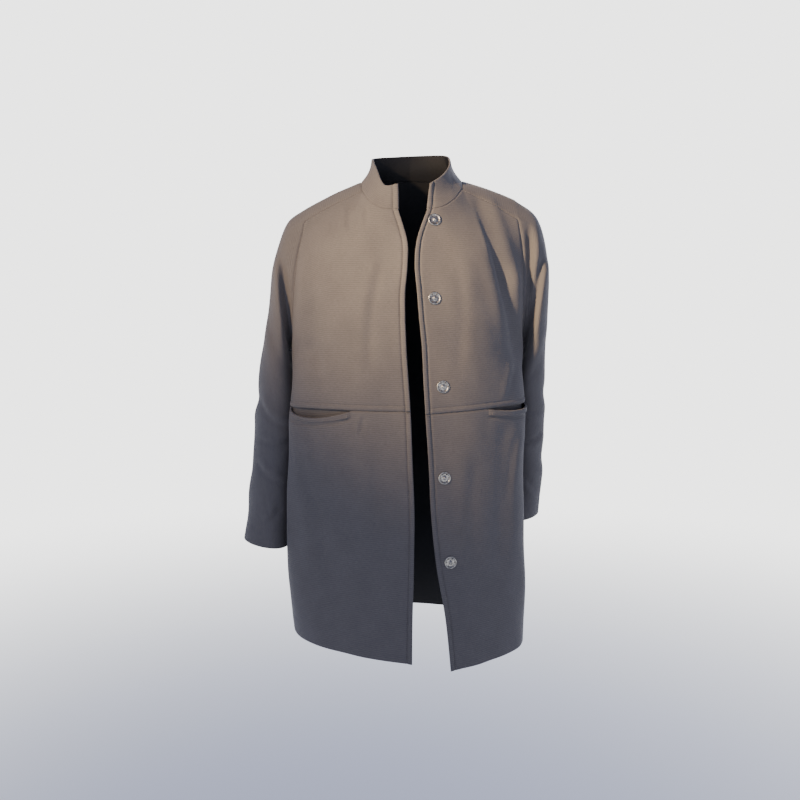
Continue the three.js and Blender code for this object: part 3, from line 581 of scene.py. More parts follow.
def back_top(u):
    result = np.zeros((len(u), 3))
    for side in SIDES:
        out = np.abs(u - 0.5) * 2
        neck = back_neck(side, np.clip(out / BACK_NECK_SHARE, 0, 1))
        saddle = back_saddle(side, np.clip((out - BACK_NECK_SHARE) / (1 - BACK_NECK_SHARE), 0, 1))
        here = np.where((out <= BACK_NECK_SHARE)[:, None], neck, saddle)
        result = np.where(((u < 0.5) == (side == "right"))[:, None], here, result)
    return result


def front_station(side, u, station):
    if station == TOP:
        return front_top(side, u)
    if station > UNDERARM:
        return along(front_net(side, station), FRONT_SPANS * u)
    net = round_net(station)
    return along(net, FRONT_SPANS * u if side == "right" else len(net) - 1 - FRONT_SPANS * u)


def back_station(u, station):
    if station == TOP:
        return back_top(u)
    if station > UNDERARM:
        return along(back_net(station), BACK_SPANS * u)
    return along(round_net(station), FRONT_SPANS + BACK_SPANS * u)


def side_lines(side):
    return np.stack([front_station(side, np.array([1.0]), k) for k in range(UNDERARM + 1)])


def seamed(p, side, edge, nearness, v):
    """Draws points near a side onto the seam that the front and the back share."""
    shared = along(side_lines(side), np.minimum(v, UNDERARM))
    pull = (shared - edge) * (nearness**SEAM_PULL)[None, :, None]
    return p + np.where((v < UNDERARM)[:, None, None], pull, 0)


def front_surface(side, u, v):
    """A front's points for all shares u of its width and stations v, without its folds."""
    lines = np.stack([front_station(side, u, k) for k in range(TOP + 1)])
    edge = np.stack([front_station(side, np.array([1.0]), k) for k in range(TOP + 1)])
    return seamed(along(lines, v), side, along(edge, v), u, v)


def back_surface(u, v):
    lines = np.stack([back_station(u, k) for k in range(TOP + 1)])
    p = along(lines, v)
    for side, end in (("right", 0.0), ("left", 1.0)):
        edge = np.stack([back_station(np.array([end]), k) for k in range(TOP + 1)])
        own = (u < 0.5) == (side == "right")
        nearness = np.where(own, np.abs(2 * u - 1), 0)
        p = seamed(p, side, along(edge, v), nearness, v)
    return p


def gape(side, u):
    pocket = POCKETS[side]
    t = np.clip((u - pocket["from"]) / (pocket["to"] - pocket["from"]), 0, 1)
    return np.maximum(np.sin(math.pi * t**GAPE_LEAN), 0) ** GAPE_FLATNESS


def skirt(side, p, u):
    """Lets the upper edge of the lower front drop and lean out along the pocket."""
    pocket = POCKETS[side]
    order = np.linspace(0, 1, 201)
    waist = draped(front_surface(side, order, np.array([WAIST], float)))[0]
    below = np.interp(u, order, waist[:, 2]) - p[..., 2]
    share = gape(side, u) * np.clip(1 - below / LIP_REACH, 0, None) ** 2
    moved = p + body_outward(p) * (pocket["push"] * share)[..., None]
    moved[..., 2] -= pocket["drop"] * share
    return moved


# Even meshes


def respace(grid, knots, step, near_start=(), near_end=()):
    """Redraws a dense grid along its first axis with even steps between the rows numbered in knots.
    near_start and near_end give distances from the two ends that rows must have."""
    rows = []
    for n, (low, high) in enumerate(zip(knots[:-1], knots[1:])):
        part = grid[low:high + 1]
        steps = np.linalg.norm(np.diff(part[..., :3], axis=0), axis=-1)
        length = np.concatenate([np.zeros((1, part.shape[1])), np.cumsum(steps, axis=0)])
        total = length[-1]
        start = np.array(near_start if n == 0 else (), float)
        end = np.array(near_end if n == len(knots) - 2 else (), float)
        first = np.append(0.0, start)[-1]
        last = total - np.append(end, 0.0)[0]
        count = max(int(round(np.median(last - first) / step)), 2)
        shares = np.linspace(0, 1, count + 1)[:, None]
        targets = np.concatenate([
            np.tile(np.append(0.0, start)[:-1, None], (1, len(total))),
            first + (last - first)[None] * shares,
            total[None] - np.append(end, 0.0)[1:, None],
        ])
        drawn = np.empty((len(targets),) + part.shape[1:])
        for m in range(part.shape[1]):
            for k in range(part.shape[2]):
                drawn[:, m, k] = np.interp(targets[:, m], length[:, m], part[:, m, k])
        rows.append(drawn if n == 0 else drawn[1:])
    return np.concatenate(rows)


def carried(p, u, v):
    """Points with the places on their panel that they come from."""
    shape = p.shape[:-1] + (1,)
    places = [np.broadcast_to(u[None, :, None], shape), np.broadcast_to(v[:, None, None], shape)]
    return np.concatenate([p, *places], -1)


def lengths(grid, axis):
    """Distance from the first row (axis 0) or column (axis 1) to each point of a grid."""
    steps = np.linalg.norm(np.diff(grid[..., :3], axis=axis), axis=-1)
    zero = np.zeros_like(np.take(steps, [0], axis=axis))
    return np.concatenate([zero, np.cumsum(steps, axis=axis)], axis=axis)


def index_of(values, target):
    return int(np.argmin(np.abs(values - target)))


# Shells of cloth


class Panel:
    """A grid of outer points with their relief, and what is needed to sew on it."""

    def __init__(self, points, flip, relief=None, u=None):
        self.points = points
        self.flip = flip
        self.relief = np.zeros(points.shape[:2]) if relief is None else relief
        self.u = u
        self.up = lengths(points, 0)
        self.weave = np.stack([lengths(points, 1), self.up], -1)

    def normals(self):
        along_rows = np.gradient(self.points, axis=1)
        along_columns = np.gradient(self.points, axis=0)
        normals = unit(np.cross(along_rows, along_columns))
        return -normals if self.flip else normals

    def outer(self):
        return self.points + self.normals() * self.relief[..., None]


# Points that fall on the same fiftieth of a millimetre are one point
WELD_STEPS = 50


def weld(panels):
    """One list of points and quads from panels that share edges."""
    points = np.concatenate([panel.points.reshape(-1, 3) for panel in panels])
    relief = np.concatenate([panel.relief.ravel() for panel in panels])
    weave = np.concatenate([panel.weave.reshape(-1, 2) for panel in panels])
    quads, start = [], 0
    for panel in panels:
        rows, columns = panel.points.shape[:2]
        ids = np.arange(rows * columns).reshape(rows, columns) + start
        corners = [ids[:-1, :-1], ids[:-1, 1:], ids[1:, 1:], ids[1:, :-1]]
        corners = corners[::-1] if panel.flip else corners
        quads.append(np.stack([c.ravel() for c in corners], -1))
        start += rows * columns
    quads = np.concatenate(quads)
    keys = np.round(points * WELD_STEPS).astype(np.int64)
    _, first, same = np.unique(keys, axis=0, return_index=True, return_inverse=True)
    same = same.ravel()
    return points[first], relief[first], weave[first], same[quads], weave[quads]


def vertex_normals(points, quads):
    a, b, c, d = (points[quads[:, k]] for k in range(4))
    face = np.cross(c - a, d - b)
    normals = np.zeros_like(points)
    for k in range(4):
        np.add.at(normals, quads[:, k], face)
    return unit(normals)


def free_edges(quads, count):
    edges = np.concatenate([quads[:, [k, (k + 1) % 4]] for k in range(4)])
    forward = edges[:, 0] * count + edges[:, 1]
    backward = edges[:, 1] * count + edges[:, 0]
    return edges[~np.isin(forward, backward)]


def inward_vectors(points, normals, edges):
    """For points on free edges, the way into the sheet that stays level with both edges."""
    count = len(points)
    step = points[edges[:, 1]] - points[edges[:, 0]]
    inward = np.zeros((2, count, 3))
    for slot, column in ((0, 0), (1, 1)):
        ids = edges[:, column]
        inward[slot, ids] = unit(np.cross(normals[ids], step))
    reach = np.maximum(1 + np.sum(inward[0] * inward[1], axis=1, keepdims=True), 0.4)
    return (inward[0] + inward[1]) / reach


RIM_STEPS = 5


def shell(name, panels, thickness, materials, overlap=0.0):
    """A closed shell: outer cloth, inner lining and a rounded rim along every free edge, which
    reaches past the panels by overlap."""
    points, relief, weave, quads, corner_weave = weld(panels)
    count = len(points)
    normals = vertex_normals(points, quads)
    edges = free_edges(quads, count)
    inward = inward_vectors(points, normals, edges)
    radius = (thickness + relief) / 2
    top = points + normals * relief[:, None] + inward * (radius - overlap)[:, None]
    bottom = points - normals * thickness + inward * (radius - overlap)[:, None]
    rim_ids = np.unique(edges)
    place = np.full(count, -1)
    place[rim_ids] = np.arange(len(rim_ids))
    middle = (top[rim_ids] + bottom[rim_ids]) / 2
    vertices = [top, bottom]
    for k in range(1, RIM_STEPS):
        turn = math.pi * k / RIM_STEPS
        ring = normals[rim_ids] * math.cos(turn) - inward[rim_ids] * math.sin(turn)
        vertices.append(middle + ring * radius[rim_ids, None])

    def layer(ids, k):
        if k == 0:
            return ids
        if k == RIM_STEPS:
            return ids + count
        return 2 * count + (k - 1) * len(rim_ids) + place[ids]

    faces = [quads, quads[:, ::-1] + count]
    slots = [np.zeros(len(quads), int), np.ones(len(quads), int)]
    coordinates = [corner_weave.reshape(-1, 2), corner_weave[:, ::-1].reshape(-1, 2)]
    start, end = edges[:, 0], edges[:, 1]
    for k in range(RIM_STEPS):
        corners = [layer(end, k), layer(start, k), layer(start, k + 1), layer(end, k + 1)]
        faces.append(np.stack(corners, -1))
        slots.append(np.full(len(edges), int(k == RIM_STEPS - 1)))
        corners = [weave[end], weave[start], weave[start], weave[end]]
        coordinates.append(np.stack(corners, 1).reshape(-1, 2))
    return mesh_object(
        name, np.concatenate(vertices), np.concatenate(faces), materials,
        np.concatenate(slots), np.concatenate(coordinates),
    )


def mesh_object(name, vertices, faces, materials, slots=None, weave=None):
    mesh = bpy.data.meshes.new(name)
    mesh.from_pydata((vertices * MM).tolist(), [], faces.tolist())
    mesh.polygons.foreach_set("use_smooth", np.ones(len(faces), bool))
    if slots is not None:
        mesh.polygons.foreach_set("material_index", slots.astype(np.int32))
    if weave is not None:
        layer = mesh.uv_layers.new(name="weave")
        layer.data.foreach_set("uv", (weave * MM).astype(np.float32).ravel())
    for material in materials:
        mesh.materials.append(material)
    mesh.update()
    obj = bpy.data.objects.new(name, mesh)
    bpy.context.scene.collection.objects.link(obj)
    return obj


# Relief of sewn edges


def turned_edge(distance, width, rise=0.45, groove=0.7):
    """A turned and topstitched edge: a raised band, then the groove that the stitches pull in."""
    band = rise * smoothstep(width + 0.6 - distance, 0, 1.6)
    return band - groove * bell((distance - width) / 1.4)


def seam_dip(distance, depth=1.9, reach=1.3):
    """How a sheet dips toward a seam that draws it in."""
    return -depth * bell(distance / reach)


PUCKER_WANDER = 1.3
PUCKER_WANDER_PITCHES = 3.7
PUCKER_CREST = 0.6


def pucker(distance, run, reach, height, pitch, phase):
    """Small waves beside a line of stitches."""
    wander = PUCKER_WANDER * np.sin(math.tau * run / (PUCKER_WANDER_PITCHES * pitch))
    wave = np.sin(math.tau * run / pitch + phase + wander)
    return height * wave * bell((distance - reach * PUCKER_CREST) / reach)


# Stitches

THREADS = []


def add_stitches(line, normals, pitch=STITCH_PITCH, length=STITCH_LENGTH, sink=0.05):
    """Lays stitches along a line of points, half sunk in the cloth."""
    steps = np.linalg.norm(np.diff(line, axis=0), axis=1)
    run = np.concatenate([[0], np.cumsum(steps)])
    places = np.arange(pitch, run[-1] - pitch / 2, pitch)
    at = lambda where: np.stack([np.interp(where, run, line[:, k]) for k in range(3)], -1)
    middle = at(places)
    direction = unit(at(places + length / 2) - at(places - length / 2))
    normal = unit(np.stack([np.interp(places, run, normals[:, k]) for k in range(3)], -1))
    across = unit(np.cross(direction, normal))
    THREADS.append((middle + normal * sink, direction, normal, across, length))


def add_tack(line, normals):
    """A bar tack: stitches lying side by side across a short line."""
    run = lengths(line[:, None], 0)[:, 0]
    places = np.arange(TACK_START, run[-1], TACK_PITCH)
    middle = np.stack([np.interp(places, run, line[:, k]) for k in range(3)], -1)
    down = np.broadcast_to(unit(line[-1] - line[0]), middle.shape)
    normal = unit(np.stack([np.interp(places, run, normals[:, k]) for k in range(3)], -1))
    direction = unit(np.cross(down, normal))
    THREADS.append((middle - normal * TACK_SINK, direction, normal, down, TACK_WIDTH))


STITCH_SIDES = 6
STITCH_RINGS = [(-0.5, 0.35), (-0.3, 1.0), (0.3, 1.0), (0.5, 0.35)]


def thread_mesh(name, materials):
    """All the stitches as one mesh: each a small rounded spindle."""
    sides, rings = STITCH_SIDES, STITCH_RINGS
    turns = np.arange(sides) * math.tau / sides
    vertices, faces, start = [], [], 0
    for middle, direction, normal, across, length in THREADS:
        count = len(middle)
        for share, width in rings:
            for turn in turns:
                ring = normal * math.sin(turn) + across * math.cos(turn)
                vertices.append(middle + direction * length * share + ring * width * STITCH_RADIUS)
        size = len(rings) * sides
        ids = start + np.arange(count)
        number = lambda r, s: ids + (r * sides + s % sides) * count
        for r in range(len(rings) - 1):
            for s in range(sides):
                corners = [number(r, s), number(r, s + 1), number(r + 1, s + 1), number(r + 1, s)]
                faces.append(np.stack(corners, -1))
        for r, order in ((0, (3, 2, 1, 0)), (len(rings) - 1, (0, 1, 2, 3))):
            faces.append(np.stack([number(r, s) for s in order], -1))
            faces.append(np.stack([number(r, (s + 3) % sides) for s in order], -1))
        start += size * count
    return mesh_object(name, np.concatenate(vertices), np.concatenate(faces), materials)


# Materials

CLOTH_DARK = (0.082, 0.075, 0.071, 1)
CLOTH_LIGHT = (0.155, 0.142, 0.134, 1)
LINING_DARK = (0.0035, 0.0035, 0.0045, 1)
LINING_LIGHT = (0.007, 0.007, 0.0088, 1)
METAL_DARK = (0.15, 0.147, 0.145, 1)
METAL_LIGHT = (0.32, 0.314, 0.305, 1)
THREAD_DARK = (0.08, 0.072, 0.068, 1)
THREAD_LIGHT = (0.155, 0.14, 0.132, 1)

# A wave texture repeats every 2 pi / 20 of its coordinate
RIB_PERIOD_SCALE = math.tau / 20
RIB_PITCH = 0.0034
RIB_STRETCH = (0.28, 1, 1)
GRAIN_SCALE = 1.7
GRAIN_SHARE = 0.45
MOTTLE_SCALE = 28.0
MOTTLE_SHARE = 0.5
TONE_FROM = 0.6
TONE_TO = 1.35
WEAVE_HEIGHT = 0.0004


def new_material(name):
    material = bpy.data.materials.new(name)
    material.use_nodes = True
    nodes = material.node_tree.nodes
    return material, nodes, material.node_tree.links, nodes["Principled BSDF"]


def node(nodes, kind, **values):
    """A new node with some of its properties and input values set."""
    made = nodes.new(kind)
    for key, value in values.items():
        if hasattr(made, key):
            setattr(made, key, value)
        else:
            made.inputs[key.replace("_", " ")].default_value = value
    return made


def fed(nodes, links, source, kind, port, **values):
    """A new node with one input taken from another node's output."""
    made = node(nodes, kind, **values)
    links.new(source, made.inputs[port])
    return made


def scaled_sum(nodes, links, value, factor, added):
    """A value times a factor, plus another value."""
    made = fed(nodes, links, value, "ShaderNodeMath", 0, operation="MULTIPLY_ADD")
    made.inputs[1].default_value = factor
    links.new(added, made.inputs[2])
    return made.outputs[0]


def finish_surface(made, tone, ends, colors, height_of, roughness, rough_of, bump):
    """Gives a shader its colour from a tone, its range of roughness and its relief."""
    nodes, links, shader = made
    color = fed(nodes, links, tone, "ShaderNodeValToRGB", "Fac")
    for element, place, value in zip(color.color_ramp.elements, ends, colors):
        element.position = place
        element.color = value
    links.new(color.outputs["Color"], shader.inputs["Base Color"])
    low, high = roughness
    rough = fed(nodes, links, rough_of, "ShaderNodeMapRange", "Value", To_Min=low, To_Max=high)
    links.new(rough.outputs["Result"], shader.inputs["Roughness"])
    strength, distance = bump
    relief = fed(
        nodes, links, height_of, "ShaderNodeBump", "Height", Strength=strength, Distance=distance,
    )
    links.new(relief.outputs["Normal"], shader.inputs["Normal"])


def weave_material(name, colors, roughness, sheen, rib_scale, rib_share, bump):
    """Crepe: wavering cross ribs broken by slubs and grains, mottled in tone."""
    material, nodes, links, shader = new_material(name)
    place = node(nodes, "ShaderNodeUVMap", uv_map="weave").outputs["UV"]
    stretch = fed(nodes, links, place, "ShaderNodeMapping", "Vector", Scale=RIB_STRETCH).outputs["Vector"]

    def noise(source, scale, detail, rough):
        values = {"Scale": scale, "Detail": detail, "Roughness": rough}
        return fed(nodes, links, source, "ShaderNodeTexNoise", "Vector", **values).outputs["Fac"]

    slubs = noise(stretch, rib_scale, 3.0, 0.62)
    grains = noise(place, rib_scale * GRAIN_SCALE, 2.0, 0.5)
    mottle = noise(place, MOTTLE_SCALE, 4.0, 0.6)
    ribs = fed(
        nodes, links, stretch, "ShaderNodeTexWave", "Vector", bands_direction="Y",
        Scale=RIB_PERIOD_SCALE / RIB_PITCH, Distortion=2.4, Detail=2.0, Detail_Scale=0.6,
    )
    broken = scaled_sum(nodes, links, ribs.outputs["Fac"], rib_share, slubs)
    weave = scaled_sum(nodes, links, grains, GRAIN_SHARE, broken)
    tone = scaled_sum(nodes, links, mottle, MOTTLE_SHARE, weave)
    share = fed(
        nodes, links, tone, "ShaderNodeMapRange", "Value",
        From_Min=TONE_FROM, From_Max=TONE_TO + rib_share,
    )
    range_of_roughness = (roughness - 0.06, roughness + 0.08)
    finish_surface(
        (nodes, links, shader), share.outputs["Result"], (0.0, 1.0), colors, weave,
        range_of_roughness, slubs, (bump, WEAVE_HEIGHT),
    )
    shader.inputs["Sheen Weight"].default_value = sheen
    shader.inputs["Sheen Roughness"].default_value = 0.45
    shader.inputs["Specular IOR Level"].default_value = 0.3
    return material


def metal_material():
    material, nodes, links, shader = new_material("snap_metal")
    place = node(nodes, "ShaderNodeTexCoord").outputs["Object"]
    wear = fed(
        nodes, links, place, "ShaderNodeTexNoise", "Vector", Scale=300.0, Detail=3.0, Roughness=0.5,
    ).outputs["Fac"]
    finish_surface(
        (nodes, links, shader), wear, (0.35, 0.68), (METAL_DARK, METAL_LIGHT), wear,
        (0.34, 0.5), wear, (0.08, 0.00005),
    )
    shader.inputs["Metallic"].default_value = 1.0
    return material


def thread_material():
    material, nodes, links, shader = new_material("thread")
    place = node(nodes, "ShaderNodeTexCoord").outputs["Object"]
    twist = fed(nodes, links, place, "ShaderNodeTexNoise", "Vector", Scale=2600.0, Detail=1.0)
    color = fed(nodes, links, twist.outputs["Fac"], "ShaderNodeValToRGB", "Fac")
    ends = ((0.3, THREAD_DARK), (0.7, THREAD_LIGHT))
    for element, (place, value) in zip(color.color_ramp.elements, ends):
        element.position = place
        element.color = value
    links.new(color.outputs["Color"], shader.inputs["Base Color"])
    shader.inputs["Roughness"].default_value = 0.55
    return material


CLOTH_MATERIAL = weave_material(
    "crepe", (CLOTH_DARK, CLOTH_LIGHT),
    roughness=0.82, sheen=0.12, rib_scale=620.0, rib_share=0.3, bump=0.6,
)
LINING_MATERIAL = weave_material(
    "lining", (LINING_DARK, LINING_LIGHT),
    roughness=0.7, sheen=0.0, rib_scale=1200.0, rib_share=0.0, bump=0.2,
)
METAL_MATERIAL = metal_material()
THREAD_MATERIAL = thread_material()

make_camera()

# Body panels

PIECES = {}
DENSE_U = 241
DENSE_PER_STATION = 16

# Distances from seams, stitches and hems at which the meshes have lines of points
FROM_SEAM = (1.2, 2.6)
TO_SEAM = (2.6, 1.2)
BY_EDGE = (2.4, 4.5, 6.2, 7.2, EDGE_STITCH, 8.8, 9.8, 12)
ABOVE_WAIST = (1.2, 2.6, 5, 7, 8.2, WAIST_STITCH, 9.8, 11, 13)
BELOW_WAIST = (13, 11, 10, 8, 6, 4, 2.6, 1.2)
BY_HEM = (2.6, 6, 14, 24, HEM_STITCH - 1.5, HEM_STITCH, HEM_STITCH + 1.5, HEM_STITCH + 4)
BY_CUFF = (CUFF_STITCH + 3, CUFF_STITCH + 1.2, CUFF_STITCH, CUFF_STITCH - 1.2, 20, 10, 5, 2.6)
BY_COLLAR_EDGE = (2.6, 5, 7.2, EDGE_STITCH, 9, 11)

# A row and a column of the fronts' meshes along which widths and heights are read
WIDTH_ROW = 5
HEIGHT_COLUMN = 40


def dress(cad_node, panels, thickness, inside=LINING_MATERIAL, overlap=0.0):
    """Puts a shell of cloth in the place of the solid of this name."""
    materials = [CLOTH_MATERIAL, inside]
    PIECES[cad_node] = shell(f"{cad_node}_cloth", panels, thickness, materials, overlap)


def dense_rows(first, last):
    return np.linspace(first, last, (last - first) * DENSE_PER_STATION + 1)


def front_panel(side, first, last, knots, near_start, near_end):
    """A front between two stations, redrawn in even steps with bands along its edges."""
    u = np.linspace(0, 1, DENSE_U)
    v = dense_rows(first, last)
    grid = carried(front_surface(side, u, v), u, v)
    corner = int(round(FRONT_NECK_SHARE * (DENSE_U - 1)))
    columns = [0, corner, DENSE_U - 1]
    grid = respace(grid.swapaxes(0, 1), columns, MESH_STEP, BY_EDGE, TO_SEAM).swapaxes(0, 1)
    rows = [(knot - first) * DENSE_PER_STATION for knot in knots]
    return respace(grid, rows, MESH_STEP, near_start, near_end)


def front_relief(points):
    from_edge = lengths(points, 1)
    height = lengths(points, 0)
    relief = turned_edge(from_edge, EDGE_STITCH, EDGE_RISE, EDGE_GROOVE)
    relief += pucker(from_edge, height, 9, 0.14, 11, 0.4) + seam_dip(from_edge[:, -1:] - from_edge)
    return relief, from_edge, height


def stitch_edge(panel, from_edge):
    """Topstitches a front's edge. Returns the panel's outer points, normals and stitched column."""
    outer, normals = panel.outer(), panel.normals()
    column = index_of(from_edge[WIDTH_ROW], EDGE_STITCH)
    add_stitches(outer[:, column], normals[:, column])
    return outer, normals, column


def hem_relief(height, share=1.0):
    """The turned hem's slight thickness, and the dip along its stitches."""
    thickness = HEM_RISE * smoothstep(HEM_STITCH + 2 - height, 0, 5)
    return thickness - HEM_DIP * share * bell((height - HEM_STITCH) / 2)


def build_front_upper(side):
    grid = front_panel(side, WAIST, TOP, [WAIST, UNDERARM, TOP], ABOVE_WAIST, TO_SEAM)
    points = draped(grid[..., :3])
    relief, from_edge, height = front_relief(points)
    share = smoothstep(from_edge, 6, 12)
    relief += share * turned_edge(height, WAIST_STITCH, 0.55, 0.8)
    relief += share * (pucker(height, from_edge, 8, 0.2, 13, 1.1) + seam_dip(height, 1.4))
    relief += share * seam_dip(height[-1:] - height)
    panel = Panel(points, side == "right", relief, grid[..., 3])
    dress(f"front_{side}_upper", [panel], CLOTH)
    outer, normals, column = stitch_edge(panel, from_edge)
    row = index_of(height[:, HEIGHT_COLUMN], WAIST_STITCH)
    add_stitches(outer[row, column:], normals[row, column:])
    return panel


def build_front_lower(side):
    grid = front_panel(side, 0, WAIST, [0, WAIST], BY_HEM, BELOW_WAIST)
    points = skirt(side, draped(grid[..., :3]), grid[..., 3])
    relief, from_edge, height = front_relief(points)
    share = smoothstep(from_edge, 8, 30)
    relief += hem_relief(height, share)
    from_waist = height[-1:] - height
    pocket = POCKETS[side]
    inside = smoothstep(grid[..., 3], pocket["from"], pocket["from"] + POCKET_SEAM)
    inside = inside * smoothstep(-grid[..., 3], -pocket["to"], POCKET_SEAM - pocket["to"])
    relief += share * (1 - inside) * seam_dip(from_waist)
    relief -= WELT_SHADOW * inside * bell((from_waist - WELT_SHADOW_PLACE) / WELT_SHADOW_WIDTH)
    panel = Panel(points, side == "right", relief, grid[..., 3])
    dress(f"front_{side}_lower", [panel], CLOTH)
    stitch_edge(panel, from_edge)
    return panel


def build_back():
    u = np.linspace(0, 1, 2 * DENSE_U - 1)
    v = dense_rows(0, TOP)
    grid = carried(back_surface(u, v), u, v)
    quarter = (DENSE_U - 1) // 2
    columns = [k * quarter for k in range(BACK_SPANS + 1)]
    grid = respace(grid.swapaxes(0, 1), columns, BACK_MESH_STEP, FROM_SEAM, TO_SEAM).swapaxes(0, 1)
    rows = [0, UNDERARM * DENSE_PER_STATION, TOP * DENSE_PER_STATION]
    grid = respace(grid, rows, BACK_MESH_STEP, BY_HEM, TO_SEAM)
    points = draped(grid[..., :3])
    height = lengths(points, 0)
    relief = hem_relief(height)
    across = lengths(points, 1)
    relief += seam_dip(np.minimum(across, across[:, -1:] - across)) + seam_dip(height[-1:] - height)
    panel = Panel(points, True, relief, grid[..., 3])
    dress("back", [panel], CLOTH)


# Sleeves

# Places across the saddle strip, close together beside its seams
SADDLE_SHARES = np.concatenate([
    [0, 0.02, 0.045, 0.075], np.linspace(0.11, 0.89, 24), [0.925, 0.955, 0.98, 1],
])


def ring_points(side, ring, angle):
    middle_out = (ring["outer_out"] + ring["inner_out"]) / 2
    middle_z = (ring["outer_z"] + ring["inner_z"]) / 2
    return np.stack([
        sign(side) * (middle_out + (ring["outer_out"] - middle_out) * np.cos(angle)),
        ring["middle_y"] + ring["half_depth"] * np.sin(angle),
        middle_z + (ring["outer_z"] - middle_z) * np.cos(angle),
    ], -1)


def armhole(side):
    """The armhole all round: the saddle strip's end, down the back, and up the front."""
    over = saddle_end(side, SADDLE_SHARES)
    stations = np.linspace(TOP, UNDERARM, 85)[1:]
    down = back_surface(np.array([0.0 if side == "right" else 1.0]), stations)[:, 0]
    up = front_surface(side, np.array([1.0]), stations[::-1])[1:, 0]
    places = np.concatenate([over, down, up, over[:1]])
    ring = SLEEVES[side][0]
    middle_z = (ring["outer_z"] + ring["inner_z"]) / 2
    places = draped(places)
    angle = np.arctan2(
        (places[:, 1] - ring["middle_y"]) / ring["half_depth"],
        (places[:, 2] - middle_z) / (ring["outer_z"] - middle_z),
    )
    return places, angle


def sleeve_crease(position, angle):
    depth = np.zeros(position.shape)
    for crease in SLEEVE_CREASES:
        away = angle - math.radians(crease["angle"])
        turn = np.arctan2(np.sin(away), np.cos(away))
        beside = (position - crease["ring"] - crease["tilt"] * turn) / crease["width"]
        fade = bell(turn / math.radians(crease["length"]))
        ridge = SLEEVE_RIDGE_SHARE * bell(beside - SLEEVE_RIDGE_PLACE)
        depth += crease["depth"] * fade * (bell(beside) - ridge)
    return depth * smoothstep(position, *SLEEVE_CREASE_START)


def inner_fullness(side, position, angle):
    """How far the sleeve swells toward the body just below the armhole."""
    swell = INNER_FULLNESS[side]
    turn = np.arctan2(np.sin(angle - math.pi), np.cos(angle - math.pi))
    inward = bell(turn / math.radians(swell["length"]))
    return swell["height"] * inward * bell((position - swell["ring"]) / swell["width"])


SLEEVE_ROWS_PER_RING = 20
# The sleeve's seam allowance at the armhole: how far it reaches into the body, how deep it lies under
# the sleeve, and how far below the seam
ALLOWANCE_REACH = 4
ALLOWANCE_DEPTH = 3.5
ALLOWANCE_DROP = 3


def armhole_allowance(edge, beside, outward):
    """The turned-in edge of the sleeve, which closes the seam between it and the body."""
    inside = edge + unit(edge * (0.3, 0, 1) - edge) * ALLOWANCE_REACH
    under = beside - outward * ALLOWANCE_DEPTH
    return np.stack([inside, (inside + under) / 2, under]) - (0, 0, ALLOWANCE_DROP)



def build_sleeve(side):
    places, angle = armhole(side)
    rings = SLEEVES[side]
    stops = np.stack([places, *[ring_points(side, ring, angle) for ring in rings]])
    centre = lambda ring: (ring_points(side, ring, 0.0) + ring_points(side, ring, math.pi)) / 2
    axis_stops = np.stack([places, *[np.broadcast_to(centre(ring), places.shape) for ring in rings]])
    position = np.linspace(0, LAST_RING, LAST_RING * SLEEVE_ROWS_PER_RING + 1)
    p = along(stops, position)
    axis = along(axis_stops, position)
    outward = p - axis
    outward[..., 2] = 0
    outward = unit(outward)
    where = np.broadcast_to(position[:, None], p.shape[:-1])
    turn = np.broadcast_to(angle[None], p.shape[:-1])
    facing = lambda face: smoothstep(face * np.sin(turn), 0.1, 0.6)
    folds = fold_height(p, side, facing) * smoothstep(where, 0.03, 0.4)
    folds -= np.where(where > 1, sleeve_crease(where, turn), 0)
    folds += ripple(p + 400) * smoothstep(where, 0, 1) + inner_fullness(side, where, turn)
    p = p + outward * folds[..., None]
    rows = [0, LAST_RING * SLEEVE_ROWS_PER_RING]
    points = respace(p, rows, MESH_STEP, FROM_SEAM, BY_CUFF)
    to_cuff = lengths(points, 0)[-1:] - lengths(points, 0)
    round_length = lengths(points, 1)
    relief = 0.25 * smoothstep(CUFF_STITCH + 2 - to_cuff, 0, 4) - 0.3 * bell((to_cuff - CUFF_STITCH) / 1.8)
    from_armhole = lengths(points, 0)
    relief = relief + pucker(from_armhole, round_length, 9, 0.25, 17, 0.2) * smoothstep(from_armhole, 2, 7)
    run = lengths(places[None], 1)[0]
    strip_end = len(SADDLE_SHARES) - 1
    beside_corner = np.where(run < run[strip_end], np.minimum(run, run[strip_end] - run), 0)
    relief += seam_dip(np.hypot(from_armhole, beside_corner))
    tube = Panel(points, side == "left", relief)
    allowance = Panel(armhole_allowance(points[0], points[1], outward[0]), side == "left")
    s = np.concatenate([[0, 0.015, 0.035], np.linspace(0.06, 1, 32)])
    t = SADDLE_SHARES
    strip = Panel(saddle(side, s, t), side == "left")
    from_seam = np.minimum(lengths(strip.points, 1), lengths(strip.points[:, ::-1], 1)[:, ::-1])
    from_collar = lengths(strip.points, 0)
    strip.relief = np.minimum(seam_dip(from_seam), seam_dip(from_collar))
    strip.relief -= SADDLE_STEP * bell(lengths(strip.points, 1) / SADDLE_STEP_REACH)
    dress(f"sleeve_{side}", [tube, allowance, strip], CLOTH)


def saddle(side, s, t):
    """The saddle strip, for s from the collar to the armhole and t from front to back."""
    neck, end = saddle_neck(side, t)[None], saddle_end(side, t)[None]
    front, back = front_saddle(side, s)[:, None], back_saddle(side, s)[:, None]
    s, t = s[:, None, None], t[None, :, None]
    ends = neck * (1 - s) + end * s
    sides = front * (1 - t) + back * t
    low = neck[:, :1] * (1 - t) + neck[:, -1:] * t
    high = end[:, :1] * (1 - t) + end[:, -1:] * t
    return draped(ends + sides - (low * (1 - s) + high * s))


# Collar

COLLAR_ROWS = 15
COLLAR_MESH_STEPS = (2.6, 2.4)
FRONT_NECK_SAMPLES = 33
SIDE_NECK_SAMPLES = 25
BACK_NECK_SAMPLES = 29


